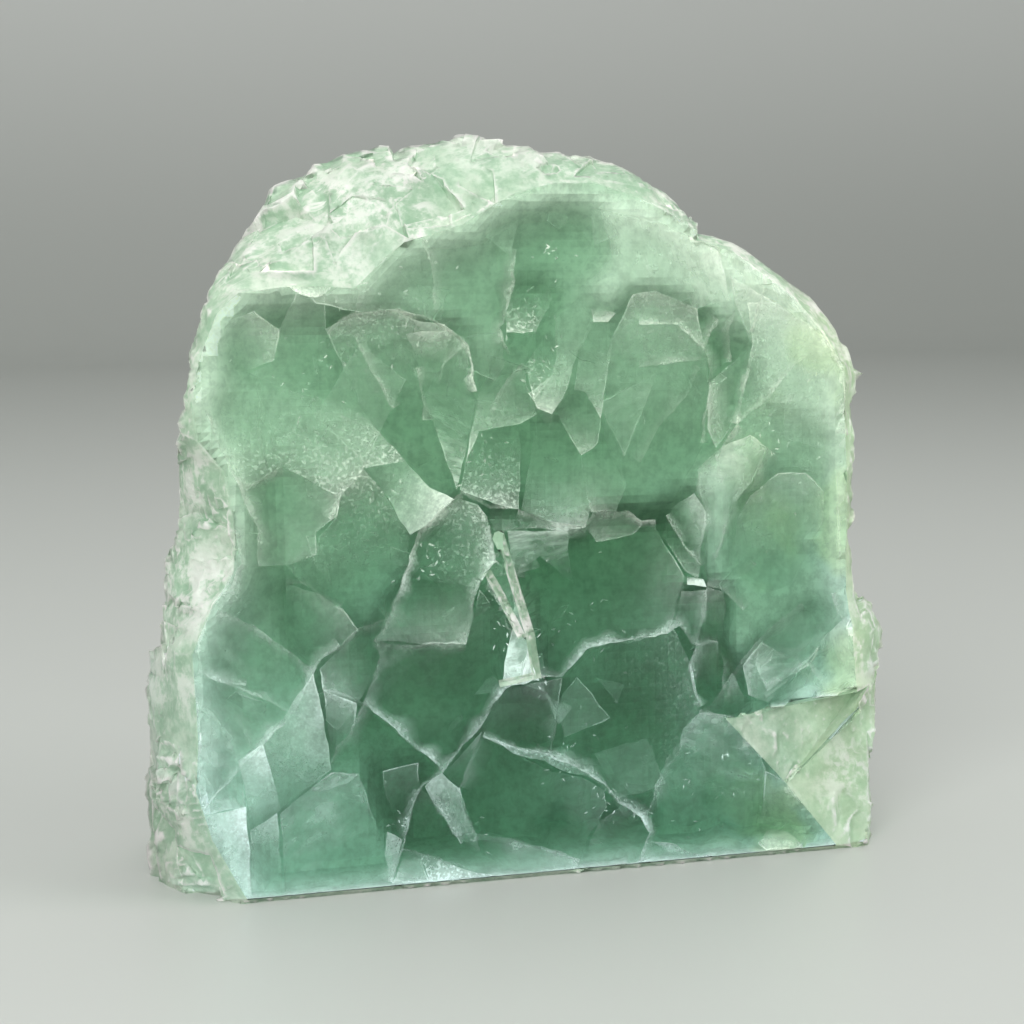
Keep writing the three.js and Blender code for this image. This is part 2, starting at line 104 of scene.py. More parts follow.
# ---- The grains under the polished face ----
# Name, milk in its veil, how deep the stone is clear behind it in mm, the way the veil dips in
# degrees from +x, its slope, its look, and its corners. A veil is milkiest where it comes nearest.
HAZE, SPECKLE, STREAK = "haze", "speckle", "streak"
GRAINS = [
    ("left upper", 0.05, 9.5, 300, 0.3, HAZE,
     [(-49, 85), (-45, 87), (-44, 92), (-41, 98), (-36.5, 97), (-36.5, 92), (-32, 82), (-30, 77.5),
      (-35.5, 80.5), (-42, 82)]),
    ("left field", 0.12, 7.5, 110, 0.20, SPECKLE,
     [(-54.5, 84), (-52, 86), (-49.5, 85.5), (-42, 82), (-35.5, 80.5), (-30, 77.5), (-24, 70.5),
      (-31, 69.5), (-35, 65), (-44.5, 70.5), (-50, 66.5), (-53, 73)]),
    ("upper field", 0.10, 8.5, 10, 0.14, HAZE,
     [(-42, 99.5), (-36, 97.5), (-29.5, 102), (-19, 107), (-12.5, 110), (-5.5, 112.5), (3, 113),
      (10, 111), (12, 103), (6, 98), (3.5, 98), (1, 98.5), (-3, 99.5), (-6.5, 97.5), (-6.5, 91),
      (-11.5, 81), (-13.5, 89), (-17, 92.5), (-25, 95), (-31, 94.5), (-38, 96)]),
    ("top right field", 0.18, 4.2, 225, 0.20, STREAK,
     [(10, 111), (20, 109), (31, 104.5), (33, 96), (27, 94.5), (19.5, 97.5), (15.5, 97),
      (12.5, 94), (6, 98), (12, 103)]),
    ("rind", 0.25, 2, 225, 0.25, STREAK,
     [(33, 104), (32, 95), (36, 95.5), (39, 96.5), (41.5, 95.5), (47, 91.5), (51, 86), (55, 85),
      (54, 89), (51, 92.5), (44.5, 98), (38, 102.5)]),
    ("right field", 0.12, 8, 265, 0.16, HAZE,
     [(36, 95.5), (41.5, 95.5), (47, 91.5), (51, 86), (56, 84), (56.5, 60), (57, 44), (50, 38),
      (43.5, 34.5), (38, 37.5), (34.5, 33.5), (31, 39), (31, 46.5), (28, 49), (27.5, 55.5),
      (28, 60), (26.5, 67.5), (31, 71), (35, 80.5), (37, 88.5)]),
    ("right upper haze", 0.12, 4.5, 240, 0.2, HAZE,
     [(33, 100), (45, 93), (55, 86), (56, 74), (49, 74), (42, 77), (38, 80), (37, 88), (34, 95)]),
    ("right pool", 0.08, 9.5, 265, 0.2, HAZE,
     [(41.5, 66.4), (46.5, 66.3), (50, 63), (49.7, 57.6), (46.4, 51.8), (44.2, 47.2), (39.2, 46.8),
      (34.6, 49.7), (33.3, 53.7), (33.7, 58.9), (36.2, 62.7)]),
    ("right pale band", 0.16, 5.0, 250, 0.12, STREAK,
     [(26.8, 66.9), (31.4, 71.3), (36.3, 73.1), (39.5, 70.8), (36.6, 65), (33, 61.5), (31.9, 58.3),
      (29.7, 52.2), (31.4, 47.2), (27.6, 48.7), (28.1, 56.5), (27.4, 61.1), (26.2, 63.7)]),
    ("right low dusk", 0.08, 11, 100, 0.25, STREAK,
     [(37.7, 38.3), (42, 40.1), (46.3, 43.8), (51.4, 45.2), (52.4, 41.5), (47.7, 34.7), (43.3, 31.3),
      (39, 28.9), (36.9, 33.7)]),
    ("right foot field", 0.18, 8.5, 200, 0.25, STREAK,
     [(50, 38), (57, 43), (57, 30), (46, 21), (38.5, 17.5), (35, 25), (34.5, 28.5), (39, 27),
      (42, 29), (46.5, 33.5)]),
    ("left band", 0.12, 10, 20, 0.22, STREAK,
     [(-51, 54), (-44.5, 54.5), (-44.5, 46), (-44, 41.5), (-39.5, 37.5), (-45, 30), (-52.5, 23.5),
      (-51.5, 16), (-58.5, 15), (-60, 30), (-57.5, 45), (-54, 49)]),
    ("central upper", 0.15, 11, 90, 0.30, HAZE,
     [(-11.5, 81), (-6.5, 91), (-1.5, 91), (-3.5, 85.5), (-3, 81), (-1.5, 77.5), (-4.5, 76),
      (-11.5, 75), (-14, 69.5)]),
    ("heart kite", 0.30, 8.5, 150, 0.35, HAZE,
     [(-30.5, 69.5), (-27, 71), (-24, 70.5), (-20, 66), (-16, 64), (-20.5, 60), (-23.5, 58.5),
      (-28, 66)]),
    ("arc", 0.10, 11.5, 260, 0.35, HAZE,
     [(-36.5, 92), (-31, 94.5), (-25, 95), (-21, 93), (-17, 92.5), (-13.5, 89), (-13, 84),
      (-11.5, 81), (-15.5, 65.5), (-24, 70.5), (-31, 79)]),
    ("arc window", 0.10, 14.5, 270, 0.4, HAZE, [(-23.5, 91), (-15.5, 91.5), (-17.5, 86), (-21, 86.5)]),
    ("arc lens", 0.16, 10.5, 60, 0.5, STREAK,
     [(-17.5, 85.5), (-16.5, 87), (-13.5, 88.5), (-11.5, 81), (-15.5, 65.5), (-18, 73), (-21, 80.5)]),
    ("speckled gem", 0.20, 11, 90, 0.5, SPECKLE,
     [(-15, 65.5), (-14, 69.5), (-11.5, 75), (-5, 76), (-4.5, 72.5), (-5, 62), (-9, 63)]),
    ("tall gem", 0.10, 11, 100, 0.4, HAZE,
     [(-4.5, 62), (-2.5, 72.5), (-1.5, 77.5), (2, 77.5), (6, 70.5), (6.5, 66), (7.5, 61.5),
      (6.5, 58.5), (3.5, 58.5)]),
    ("small gem", 0.10, 10, 60, 0.5, HAZE,
     [(6, 70), (9, 72.5), (12, 71), (14, 65.5), (12, 61), (7.5, 61)]),
    ("bud", 0.10, 11, 90, 0.5, HAZE,
     [(2, 77.5), (3.5, 80.5), (7, 81), (9.5, 76.5), (9, 72.5), (6, 70.5), (3.5, 74.5)]),
    ("tall leaf", 0.14, 8.5, 110, 0.4, HAZE,
     [(6, 98), (11.5, 93), (11.5, 87), (9.5, 76.5), (7, 81), (5, 81.5), (6, 87.5), (8, 93)]),
    ("smooth green", 0.10, 9.5, 250, 0.25, HAZE,
     [(15.5, 97), (19.5, 97.5), (27, 94.5), (28, 88.5), (29, 81.5), (28, 72), (22, 62),
      (14.5, 61.5), (13, 66.5), (10, 73.5), (10.5, 83), (11.5, 89.5)]),
    ("upper speckle", 0.11, 11.5, 90, 0.5, SPECKLE,
     [(-6.5, 97.5), (-3, 99.5), (1, 98.5), (1.5, 96.5), (-1.5, 91), (-6.5, 91)]),
    ("lower speckle", 0.16, 10.5, 80, 0.5, SPECKLE,
     [(-3.5, 85.5), (-0.5, 89.5), (2, 87), (1, 83.5), (-2, 80)]),
    ("pale column", 0.24, 7.5, 90, 0.3, HAZE,
     [(2, 93), (6, 96.5), (8.5, 92.5), (6, 88), (4.5, 84), (3, 80), (1, 77.5), (-1.5, 78.5),
      (-3, 81), (1, 83.5), (2, 87)]),
    ("wedge", 0.20, 6, 90, 0.1, HAZE, [(8.5, 92.5), (11, 92.5), (12.5, 94), (8, 95)]),
    ("diamond", 0.03, 18, 90, 0.3, HAZE,
     [(-10, 62), (-8.5, 63), (-5.5, 62.5), (-6, 59), (-8, 58), (-9.5, 59)]),
    ("under heart", 0.15, 13, 200, 0.4, SPECKLE,
     [(-15, 64), (-12, 63), (-10.5, 61), (-9.5, 54), (-12.5, 49.5), (-24, 51.5), (-22, 58.5),
      (-18.5, 62.5)]),
    ("ledge", 0.08, 14.5, 100, 0.3, HAZE,
     [(-25, 51), (-12.5, 49.5), (-13.5, 47.5), (-13, 44.5), (-14.5, 40), (-29.5, 41.5), (-27, 47.5)]),
    ("crack window", 0.03, 18, 90, 0.3, HAZE,
     [(-9, 52.5), (-6.5, 50.5), (-6.5, 48), (-7.5, 46.5), (-8.5, 49)]),
    ("left splinter", 0.50, 7, 90, 0.1, SPECKLE,
     [(-11.5, 50), (-9.5, 47.5), (-8, 45), (-7, 42.5), (-6, 43.5), (-7, 46.5), (-9.5, 49.5)]),
    ("right splinter", 0.50, 7, 90, 0.1, STREAK,
     [(-7, 51), (-5.5, 48), (-4.3, 43), (-3, 38), (-2, 33.3), (-8.3, 32.6), (-7.6, 38),
      (-6.6, 42.5), (-6, 46)]),
    ("dark well", 0.05, 16, 300, 0.6, STREAK,
     [(-30, 41), (-14.5, 40), (-13, 44.5), (-12, 49), (-10.5, 47), (-8.5, 44), (-7.5, 40.5),
      (-8, 35), (-10.5, 28.5), (-13.5, 25), (-19.5, 19.5), (-25, 24.5), (-32, 31.5), (-29.5, 36.5),
      (-29, 39)]),
    ("small dome", 0.10, 14.5, 20, 0.4, HAZE,
     [(-39, 37.5), (-36, 40), (-32, 43.5), (-30, 41.5), (-29, 38.5), (-31, 34.5), (-32.5, 32),
      (-38.5, 34)]),
    ("dark block", 0.05, 15, 170, 0.6, HAZE,
     [(-7, 57), (-2, 58.5), (3.5, 58), (7, 58), (8.5, 56), (15, 57), (18.5, 58.5), (24, 49.5),
      (22, 43), (21.5, 41), (17.5, 39.5), (11, 38.5), (7.5, 38), (5.5, 36), (2.5, 33.5), (-2, 33),
      (-2.5, 38), (-4.5, 43.5), (-5.5, 50.5)]),
    ("slab lens", 0.08, 15.5, 90, 0.2, HAZE,
     [(8, 61), (11, 61), (15, 60.5), (16.5, 58.5), (15, 57), (8.5, 56), (7, 58)]),
    ("fan", 0.20, 15.5, 275, 0.6, STREAK,
     [(-7, 58.5), (3.5, 58), (3.5, 54), (4.5, 49), (-1.5, 54), (-5, 52), (-6.5, 54.5)]),
    ("slit", 0.06, 17, 90, 0.3, HAZE,
     [(21, 60), (22, 59.5), (24, 54.5), (27, 51.5), (26.5, 49), (24, 50.5), (20, 56.5)]),
    ("right pale", 0.15, 12.5, 200, 0.4, HAZE,
     [(21, 61), (26, 63.5), (28, 60), (27.5, 55.5), (26.5, 51.5), (22, 59.5)]),
    ("tab", 0.60, 9, 90, 0.05, HAZE, [(24.5, 49.5), (27.5, 48.8), (28, 47.5), (24.5, 48)]),
    ("petal one", 0.08, 16.5, 270, 0.3, HAZE,
     [(23.5, 47), (28, 47), (28, 42.5), (27, 38.5), (25.5, 38), (22.5, 42.5)]),
    ("petal two", 0.06, 15.5, 270, 0.3, HAZE,
     [(28, 47.5), (31, 46.5), (31.5, 43.5), (30.5, 36.5), (29.5, 38.5), (27.5, 38.5)]),
    ("petal three", 0.03, 18, 270, 0.3, HAZE,
     [(26, 37.5), (28, 38.5), (30, 38), (30.5, 31.5), (28.5, 29.5), (26.5, 30), (25, 34.5)]),
    ("petal four", 0.06, 17, 270, 0.3, HAZE,
     [(32.5, 32.5), (34.5, 28.5), (35, 25), (30, 25.5), (29.5, 27.5), (31, 30.5)]),
    ("right lozenge", 0.10, 13.5, 0, 0.3, HAZE,
     [(38, 37.5), (43.5, 34.5), (46.5, 33.5), (42, 29), (39, 27), (35.5, 28.5), (34.5, 33.5)]),
    ("keystone", 0.04, 18, 270, 0.3, HAZE,
     [(-8.5, 32), (-2, 33), (2, 33.5), (1, 28.5), (0.5, 24), (-1, 21.5), (-5, 22.5), (-11, 24.5),
      (-12, 25.5)]),
    ("teal heart", 0.05, 16, 200, 0.5, SPECKLE,
     [(8.5, 38), (4.5, 35), (2, 34), (1, 28.5), (0, 22), (5, 22.5), (8.5, 21.5), (15.5, 10),
      (18, 13.5), (23, 20), (26.5, 27), (25, 34.5), (22, 40.5), (17.5, 39.5), (11, 38.5)]),
    ("vein", 0.28, 15, 300, 0.25, SPECKLE,
     [(-10.5, 24.3), (-6.5, 22.4), (-1, 21), (3, 18.7), (6.5, 17.6), (9.5, 15.5), (11.5, 12),
      (14, 9.4), (16.5, 7), (13.6, 8.4), (11, 11.2), (9.2, 14), (6.2, 16.4), (2.8, 17.3),
      (-1.4, 19.8), (-6.8, 21.4)]),
    ("deep blue", 0.05, 16.5, 200, 0.6, HAZE,
     [(-11.5, 24.5), (-7.5, 22), (0, 17.5), (5, 16.5), (9, 14), (9.5, 11), (8, 8.5), (6.5, 7),
      (4.5, 2.5), (1, 4), (-5.5, 6.5), (-13, 9), (-15.5, 13.5), (-16, 16.5)]),
    ("shard", 0.06, 17.5, 270, 0.3, HAZE, [(-18.5, 19), (-15, 22.5), (-12, 25.5), (-16, 16.5)]),
    ("pillar", 0.16, 15, 300, 0.15, HAZE,
     [(-22, 17), (-19, 19), (-16, 16), (-15, 12.5), (-13, 6), (-16.5, 8), (-18.5, 11), (-20.5, 14)]),
    ("dark corner", 0.02, 20.5, 250, 0.5, HAZE,
     [(-22.5, 16.5), (-25, 12), (-26, 7), (-22, 6), (-14.5, 2.2), (-10.5, 1.2), (-7, 1.4),
      (-13, 5.5), (-16.5, 8), (-19, 12)]),
    ("lower band", 0.10, 15.5, 180, 0.2, HAZE,
     [(-13, 9), (-5.5, 6.5), (4.5, 2.5), (4, 1.2), (-6.5, 1.4), (-12.5, 5.5)]),
    ("foot triangle", 0.28, 10, 90, 0.1, SPECKLE,
     [(-23.5, 6), (-17.5, 3.5), (-14.5, 2.2), (-10.5, 1.2), (-21.5, 1.2), (-23, 5)]),
    ("foot shadow", 0.12, 14, 90, 0.2, STREAK, [(-25.5, 6.5), (-23, 5), (-21.5, 1.2), (-28, 1.4)]),
    ("striped dark", 0.03, 19, 300, 0.4, STREAK,
     [(8, 8.5), (10.5, 10), (12, 11), (15, 9.5), (17, 5.5), (16, 2), (13, 1.2), (4, 1.3), (5, 2.5)]),
    ("olive grain", 0.10, 12.5, 250, 0.3, STREAK,
     [(22.5, 19.5), (23.5, 23.5), (26.5, 26), (32.5, 25), (37, 18.5), (38.5, 15.5), (37, 5),
      (30.5, 1.4), (22.5, 3), (17, 6), (19.5, 16.5)]),
    ("olive deep", 0.08, 15.5, 300, 0.3, HAZE,
     [(38.5, 15), (42.5, 12.5), (44.5, 8), (46.5, 2.5), (42, 5), (37, 6), (38, 9)]),
    ("foot chip", 0.20, 11, 90, 0.1, HAZE, [(37, 2.5), (39, 5), (42.5, 4), (45.5, 1.2), (38.5, 1.2)]),
    ("left slab", 0.24, 8.5, 240, 0.2, HAZE,
     [(-40, 37), (-38.5, 29), (-37.5, 21), (-46, 15), (-51, 12), (-52.5, 23.5), (-45, 30)]),
    ("blue sliver", 0.25, 6, 260, 0.2, HAZE,
     [(-48.5, 26), (-46.5, 18), (-46, 15), (-50.5, 12.5), (-52.5, 23.5)]),
    ("milk block", 0.30, 5.5, 200, 0.12, HAZE, [(-58.5, 15), (-51.5, 16), (-51, 1.4), (-57, 3)]),
    ("foot grain", 0.15, 9.5, 270, 0.3, HAZE, [(-51, 12), (-46.5, 14.5), (-46, 1.4), (-50.5, 1.4)]),
    ("foot slab", 0.12, 10, 290, 0.3, STREAK,
     [(-46, 14.5), (-37.5, 20.5), (-33, 20), (-29, 7), (-28.5, 1.4), (-45.5, 1.4)]),
    ("blue grain", 0.10, 14.5, 240, 0.3, HAZE, [(-38.5, 34), (-33, 31.5), (-33.5, 28), (-37.5, 23.5)]),
    ("dim grain", 0.04, 16, 270, 0.3, HAZE,
     [(-29, 20), (-23, 21), (-23, 18), (-25, 13.5), (-27, 12), (-28.5, 16)]),
    ("foot column", 0.20, 9.5, 270, 0.1, HAZE, [(-28.5, 10), (-26, 8.5), (-28, 1.4), (-29, 6.5)]),
    ("left gem", 0.08, 10.5, 160, 0.3, HAZE,
     [(-50, 66.5), (-46, 69.5), (-44.5, 70.5), (-35, 65), (-35.5, 62), (-39, 59.5), (-39, 56),
      (-44.5, 54.5), (-50, 54.5)]),
    ("mossy grain", 0.10, 11, 280, 0.35, SPECKLE,
     [(-31, 69.5), (-28, 66), (-23.5, 58.5), (-24.5, 52.5), (-32, 43.5), (-35, 47), (-41.5, 51.5),
      (-44, 54.5), (-39, 56), (-38.5, 59), (-36, 61.5), (-35, 65)]),
    ("left dark", 0.08, 13.5, 200, 0.4, HAZE,
     [(-44, 51.5), (-38.5, 49.5), (-35, 47), (-32.5, 43.5), (-39.5, 37.5), (-44, 41.5), (-44.5, 46)]),
    ("shoulder green", 0.12, 9.5, 200, 0.2, HAZE,
     [(-53, 93), (-48, 95), (-44, 92), (-45, 87), (-49.5, 85.5), (-52, 89)]),
    ("teal band", 0.10, 11, 0, 0.4, HAZE,
     [(32, 84.5), (37, 88.5), (36, 82), (34, 75.5), (30, 71), (28.5, 74.5), (29, 82)]),
]
NEAREST = 0.4  # how near the face a veil comes, mm
VEIL_FADE, FADE_POWER = 2.0, 1.2  # how much milkier it is there than planned, and how soon that ends
LOOK_SHARES = {HAZE: (0.15, 0.25), SPECKLE: (0.85, 0.05), STREAK: (0.1, 0.9)}  # speckle, streak
# The cracks between the grains, which show as fine bright lines: how bright, the side their pale
# wing lies on, and the points they run through.
CRACK_LINES = [
    (0.5, 1, [(-59, 15.5), (-43, 31), (-40, 37)]),
    (0.4, 1, [(-57, 37.5), (-48, 33), (-39, 27.5)]),
    (0.5, 1, [(-21, 107), (-19, 102), (-18.5, 94.5)]),
    (0.8, 1, [(-15, 65), (-18, 62.5), (-22, 59), (-23.5, 55), (-24.5, 52), (-26.5, 47.5), (-28, 43.5),
             (-30, 41.5)]),
    (0.55, -1, [(-30, 41.5), (-23.5, 40.5), (-19, 40.5), (-14.5, 40)]),
    (0.4, -1, [(-12, 50.5), (-13, 47.5), (-13.5, 44.5), (-14.5, 40)]),
    (0.45, 1, [(-28, 45), (-32.5, 43.5), (-37, 40)]),
    (0.4, 1, [(-30, 41.5), (-29, 38.5), (-30.5, 35), (-32, 31.5), (-34.5, 33), (-37.5, 34)]),
    (0.6, 1, [(-32, 31.5), (-28.5, 28.5), (-24.5, 24.5), (-21.5, 22), (-19, 19.5)]),
    (0.85, -1, [(-2.5, 34), (-8, 32.5), (-10, 29.5), (-12.5, 26), (-15.5, 23), (-19, 19), (-22, 17.5),
             (-24, 14.5), (-26, 7), (-28, 0.5)]),
    (0.35, 1, [(-32, 31.5), (-33.5, 28.5), (-35, 26), (-36.5, 24.5), (-37.5, 22)]),
    (0.3, 1, [(-12, 25.5), (-13, 24), (-14.5, 20), (-16, 16.5)]),
    (0.9, 1, [(-12, 24.5), (-6, 22), (-0.5, 20.5), (4.5, 18), (9, 15), (11.5, 11.5), (15.5, 9),
             (17, 6), (14.5, 0.5)]),
    (0.45, -1, [(-13.5, 8.5), (-8, 7), (-1.5, 5), (5, 2.5), (3.5, 0.5)]),
    (0.9, -1, [(-5, 62), (0.5, 59.5), (6, 58.5), (8, 61), (14, 61), (16.5, 59), (19, 59)]),
    (0.5, -1, [(-5, 62), (-10, 62.5), (-12, 63.5), (-15, 65)]),
    (0.6, 1, [(-2, 33.5), (2, 34), (6.5, 38), (11.5, 39), (18.5, 39.5), (23, 41), (26, 37.5),
             (24.5, 34), (25.5, 30), (26.5, 27)]),
    (0.4, -1, [(23, 41), (22, 43.5), (23, 46), (24, 49.5)]),
    (0.45, 1, [(21, 60), (24, 54.5), (27, 51)]),
    (0.3, 1, [(26, 37.5), (29.5, 38), (30.5, 35.5), (31, 32.5), (30.5, 30), (28.5, 27), (26.5, 26.5)]),
    (0.4, -1, [(28, 47), (27.5, 41.5), (26, 37.5)]),
    (0.4, 1, [(28, 47.5), (31, 47), (34.5, 43)]),
    (0.35, 1, [(26.5, 26.5), (24, 22.5), (20.5, 18.5), (18, 13), (17, 10), (15.5, 9)]),
    (0.5, -1, [(26.5, 26.5), (30, 25.5), (35, 25), (37.5, 20.5)]),
    (0.3, -1, [(-2, 33), (-0.5, 30.5), (1, 28), (0.5, 23.5), (-0.5, 20.5)]),
    (0.45, -1, [(-32.5, 67.5), (-34, 66.5), (-36.5, 61.5)]),
    (0.9, -1, [(-10, 59.5), (-9.5, 56.5), (-9.5, 53.5), (-11.5, 50.5)]),
    (0.5, 1, [(-8, 58.5), (-3.5, 59), (3.5, 58)]),
    (0.3, 1, [(-1.5, 57), (-4.5, 54), (-5.5, 51)]),
    (0.4, 1, [(-22, 17.5), (-19.5, 13), (-17.5, 9), (-16, 7)]),
    (0.4, -1, [(-16, 16.5), (-15.5, 12.5), (-13.5, 8.5), (-13, 5.5)]),
    (0.6, -1, [(-26, 7), (-19.5, 5), (-15, 2.5), (-10.5, 0.5)]),
    (0.6, -1, [(17, 4.5), (21.5, 3.5), (25.5, 1.5), (30, 0.5)]),
    (0.8, 1, [(-51, 98), (-47, 98), (-43, 99.5), (-41.5, 98), (-39, 97), (-37.5, 97), (-35.5, 98.5),
             (-32, 100)]),
    (0.6, 1, [(-19.5, 105.5), (-18, 108), (-14.5, 109.5), (-11.5, 110.5), (-8, 112.5), (-5.5, 112.5),
             (-2, 113.5)]),
    (0.85, -1, [(-36.5, 91.5), (-34, 93.5), (-31.5, 94.5), (-24.5, 95), (-22, 94), (-19.5, 93.5),
             (-16, 91.5), (-13, 89), (-12.5, 85.5), (-12, 81.5)]),
    (0.4, 1, [(-32, 91), (-30.5, 87.5), (-28, 83), (-26, 79)]),
    (0.6, 1, [(-22, 85.5), (-21, 81.5), (-21, 77)]),
    (0.4, -1, [(-13, 89), (-15.5, 87.5), (-17.5, 85.5), (-18, 83.5)]),
    (0.25, 1, [(-31.5, 100.5), (-31, 98), (-31.5, 94.5)]),
    (0.45, -1, [(-4.5, 104.5), (-5, 101.5), (-5, 99.5), (-7, 92.5), (-8, 92), (-6, 87.5)]),
    (0.4, 1, [(-4, 86), (-6.5, 83.5), (-10, 78.5)]),
    (0.4, -1, [(-4, 85.5), (-3, 81.5), (-1.5, 79), (1.5, 78)]),
    (0.55, 1, [(-56, 79.5), (-54.5, 74.5), (-52.5, 70), (-50.5, 65.5), (-49, 62), (-48.5, 60),
             (-48.5, 54.5)]),
    (0.5, -1, [(-50, 67), (-47.5, 68.5), (-45.5, 69.5), (-44.5, 70.5)]),
    (0.6, 1, [(-52, 60.5), (-51.5, 57.5), (-51, 55), (-53, 51.5), (-55.5, 49)]),
    (0.3, 1, [(-44, 51.5), (-41.5, 51.5), (-38.5, 49.5), (-35.5, 47)]),
    (0.5, -1, [(-55, 48), (-49.5, 45), (-45, 41.5), (-40, 37.5)]),
    (0.7, 1, [(-40, 37), (-38.5, 39), (-35.5, 41)]),
    (0.5, 1, [(-58.5, 38), (-55, 36.5), (-51, 35.5)]),
    (0.6, -1, [(-56.5, 66.5), (-56.5, 63.5), (-57.5, 62), (-59.5, 59), (-61, 56.5)]),
    (0.5, 1, [(16.5, 92), (20, 92), (23.5, 92), (25.5, 90), (28, 88), (29, 84.5), (29, 80.5),
             (28, 76.5), (27.5, 72)]),
    (0.4, 1, [(28, 88), (29.5, 90.5), (31, 92.5)]),
    (0.5, -1, [(34, 94.5), (32.5, 90.5), (33, 85.5)]),
    (0.6, -1, [(37, 87), (35, 80), (34, 75)]),
    (0.5, 1, [(34, 75), (40, 79.5), (43.5, 83.5), (47, 86.5)]),
    (0.55, 1, [(34, 75), (30, 70.5), (27, 68), (26.5, 64.5), (28, 61), (27.5, 57), (26.5, 52)]),
    (0.35, -1, [(30, 70), (31, 66), (32, 61.5), (31.5, 56.5), (30, 52.5)]),
    (0.35, 1, [(16.5, 85), (22, 85.5), (27.5, 86)]),
    (0.25, 1, [(16.5, 69), (19.5, 74.5), (24, 79), (27.5, 84.5)]),
    (0.6, 1, [(39, 98), (38, 94.5), (36.5, 90.5)]),
    (0.35, 1, [(36, 77), (39.5, 78.5), (44, 78.5)]),
    (0.3, -1, [(18, 104), (19.5, 98), (22.5, 95.5)]),
    (0.45, 1, [(39.5, 70.8), (36.6, 65), (33, 61.5), (31.9, 58.3), (30.8, 55.1), (29.7, 52.2)]),
    (0.3, 1, [(29.6, 69.8), (30.3, 67.5), (31, 65.2)]),
    (0.3, 1, [(32.4, 69.7), (32.9, 67.7), (33.2, 66.1)]),
    (0.35, -1, [(31.2, 28.1), (32.3, 32), (35.2, 35.5), (37.7, 38.3), (40.5, 40.5), (45.6, 43.8)]),
    (0.45, 1, [(39, 27.6), (42.6, 30.4), (46.9, 32.8), (48.8, 35.7)]),
    (0.3, 1, [(46.9, 32.8), (49.8, 28.9), (51.2, 26.6)]),
    (0.6, 1, [(51.4, 45.2), (52.1, 42.5), (54.2, 38.7), (56.4, 34.2)]),
]
LINE_POINTS = 1.1  # spacing of the points along a crack, mm
LINE_LOWEST = 1.0  # height at which a crack ends, mm
LINE_DEPTHS = (0.5, 0.4, 0.7, 3.1)  # where it is tried, its two sides and the end of its wing, mm
LINE_WIDTHS = (0.04, 0.08)  # half the width of a faint crack, and how much more a bright one has, mm
LINE_SWAY, SWAY_WAVE = 0.45, 2.2  # how far a crack strays from its points, and over what length, mm
LINE_SHINE = 0.10  # how bright a crack is where it doesn't glint
LINE_LOOK = (0.5, 0.3)  # speckle, streak
WING_REACH, WING_LEAST = 2.8, 0.3  # how wide the pale wing is, and how wide at least, mm
WING_WAVE, WING_MILK = 4, 0.24  # over what length its width changes, mm, and its milk
EDGE_WIDTH = 0.32  # width of the bright edge along a veil's outline, mm
OUTLINE_POINTS, OUTLINE_SWAY, SWAY_LENGTH = 1.4, 0.35, 2.6  # spacing, swing and wave of an outline, mm
VEIL_THICKNESS = 0.06  # mm
VEIL_LOWEST = 0.3  # mm
VEIL_MARGIN = 0.2  # how far a veil's points stay under the skin, mm
VEIL_PULL, VEIL_PULLS = 0.12, 8  # how far a point is drawn in at once for that, and how often at most
LIFT_MARGIN, VEIL_LIFT = 0.6, 0.8  # nearer to the skin, mm, a point is lifted to this share of its depth
VEIL_POINTS, VEIL_INSET = 2.5, 0.9  # spacing of the points inside a veil, and where they start, mm
VEIL_WARP, WARP_LENGTH = 0.5, 7  # how far a veil strays from a plane, and over what length, mm
VEIL_GLINT = 0.45  # how bright its edge is, beside a crack's
PATCH_SWING, PATCH_LENGTH = 0.55, 9  # how much its milk changes, and over what length, mm
GLINTS, GLINT_LENGTH = (0.05, 0.75), 5  # the least glint, and how much more, and over what length, mm

# The milk deep inside, mm.
MILK_POINTS, MILK_BEYOND = 1.25, 8  # spacing of its points, and how far past the stone they start
MILK_SOFTENED = 4  # how often its depth is evened out
MILK_BLUR = 1.7  # how far a grain's depth fades into the next
MILK_WAVES = [(11.0, 0.16), (3.6, 0.07)]  # its waves: how long and how strong
MILK_MARGIN = 0.02  # how far its points stay under the skin
LEAST_ROOM = 0.1  # where the stone is thinner it holds no milk
LEAST_MILK, LEAST_SHARE = 0.2, 0.15  # half its least thickness: this, or this share of the stone's
HOLE_REACH = 5  # holes in it that are narrower than twice this many points are closed
SPAN_START = 30.0  # how far in front of the face a measured line starts
BEHIND_FACE = 0.3  # a line that enters the stone deeper than this misses the polished face
RIM_DEEP, BACK_DEEP = 1.8, 4.0  # how deep it lies at the rim of the face, and under the back
RIM_REACH = 9.0  # how far in from the rim of the face it sinks
RIM_OVAL, RIM_MIDDLE = (48, 62), 40  # the rim lies outside this oval: half its sizes, and its height
SHOULDER_DEEP = 5.0  # how deep it lies under the broken skin
SHOULDER_WAVE, SHOULDER_SWING, SHOULDER_LEAST = 6, 1.1, 0.3  # its waves there: long, strong, least
FOOT_HEIGHT = 1.05  # where the face begins, over the worn edge of the foot
FOOT_DEEP, FOOT_SLOPE = 0.35, 8.0  # how deep at most at the foot of the face, and for each mm up
NOTCHED = (-54, 18)  # left of this x and below this height the flank has deep notches
FLANK_MARGIN, FLANK_LOOKS = 1.2, 8  # how far it stays under the skin there, and how often that is tried
FLANK_FOOT = 0.8  # near the foot this share of the height is enough

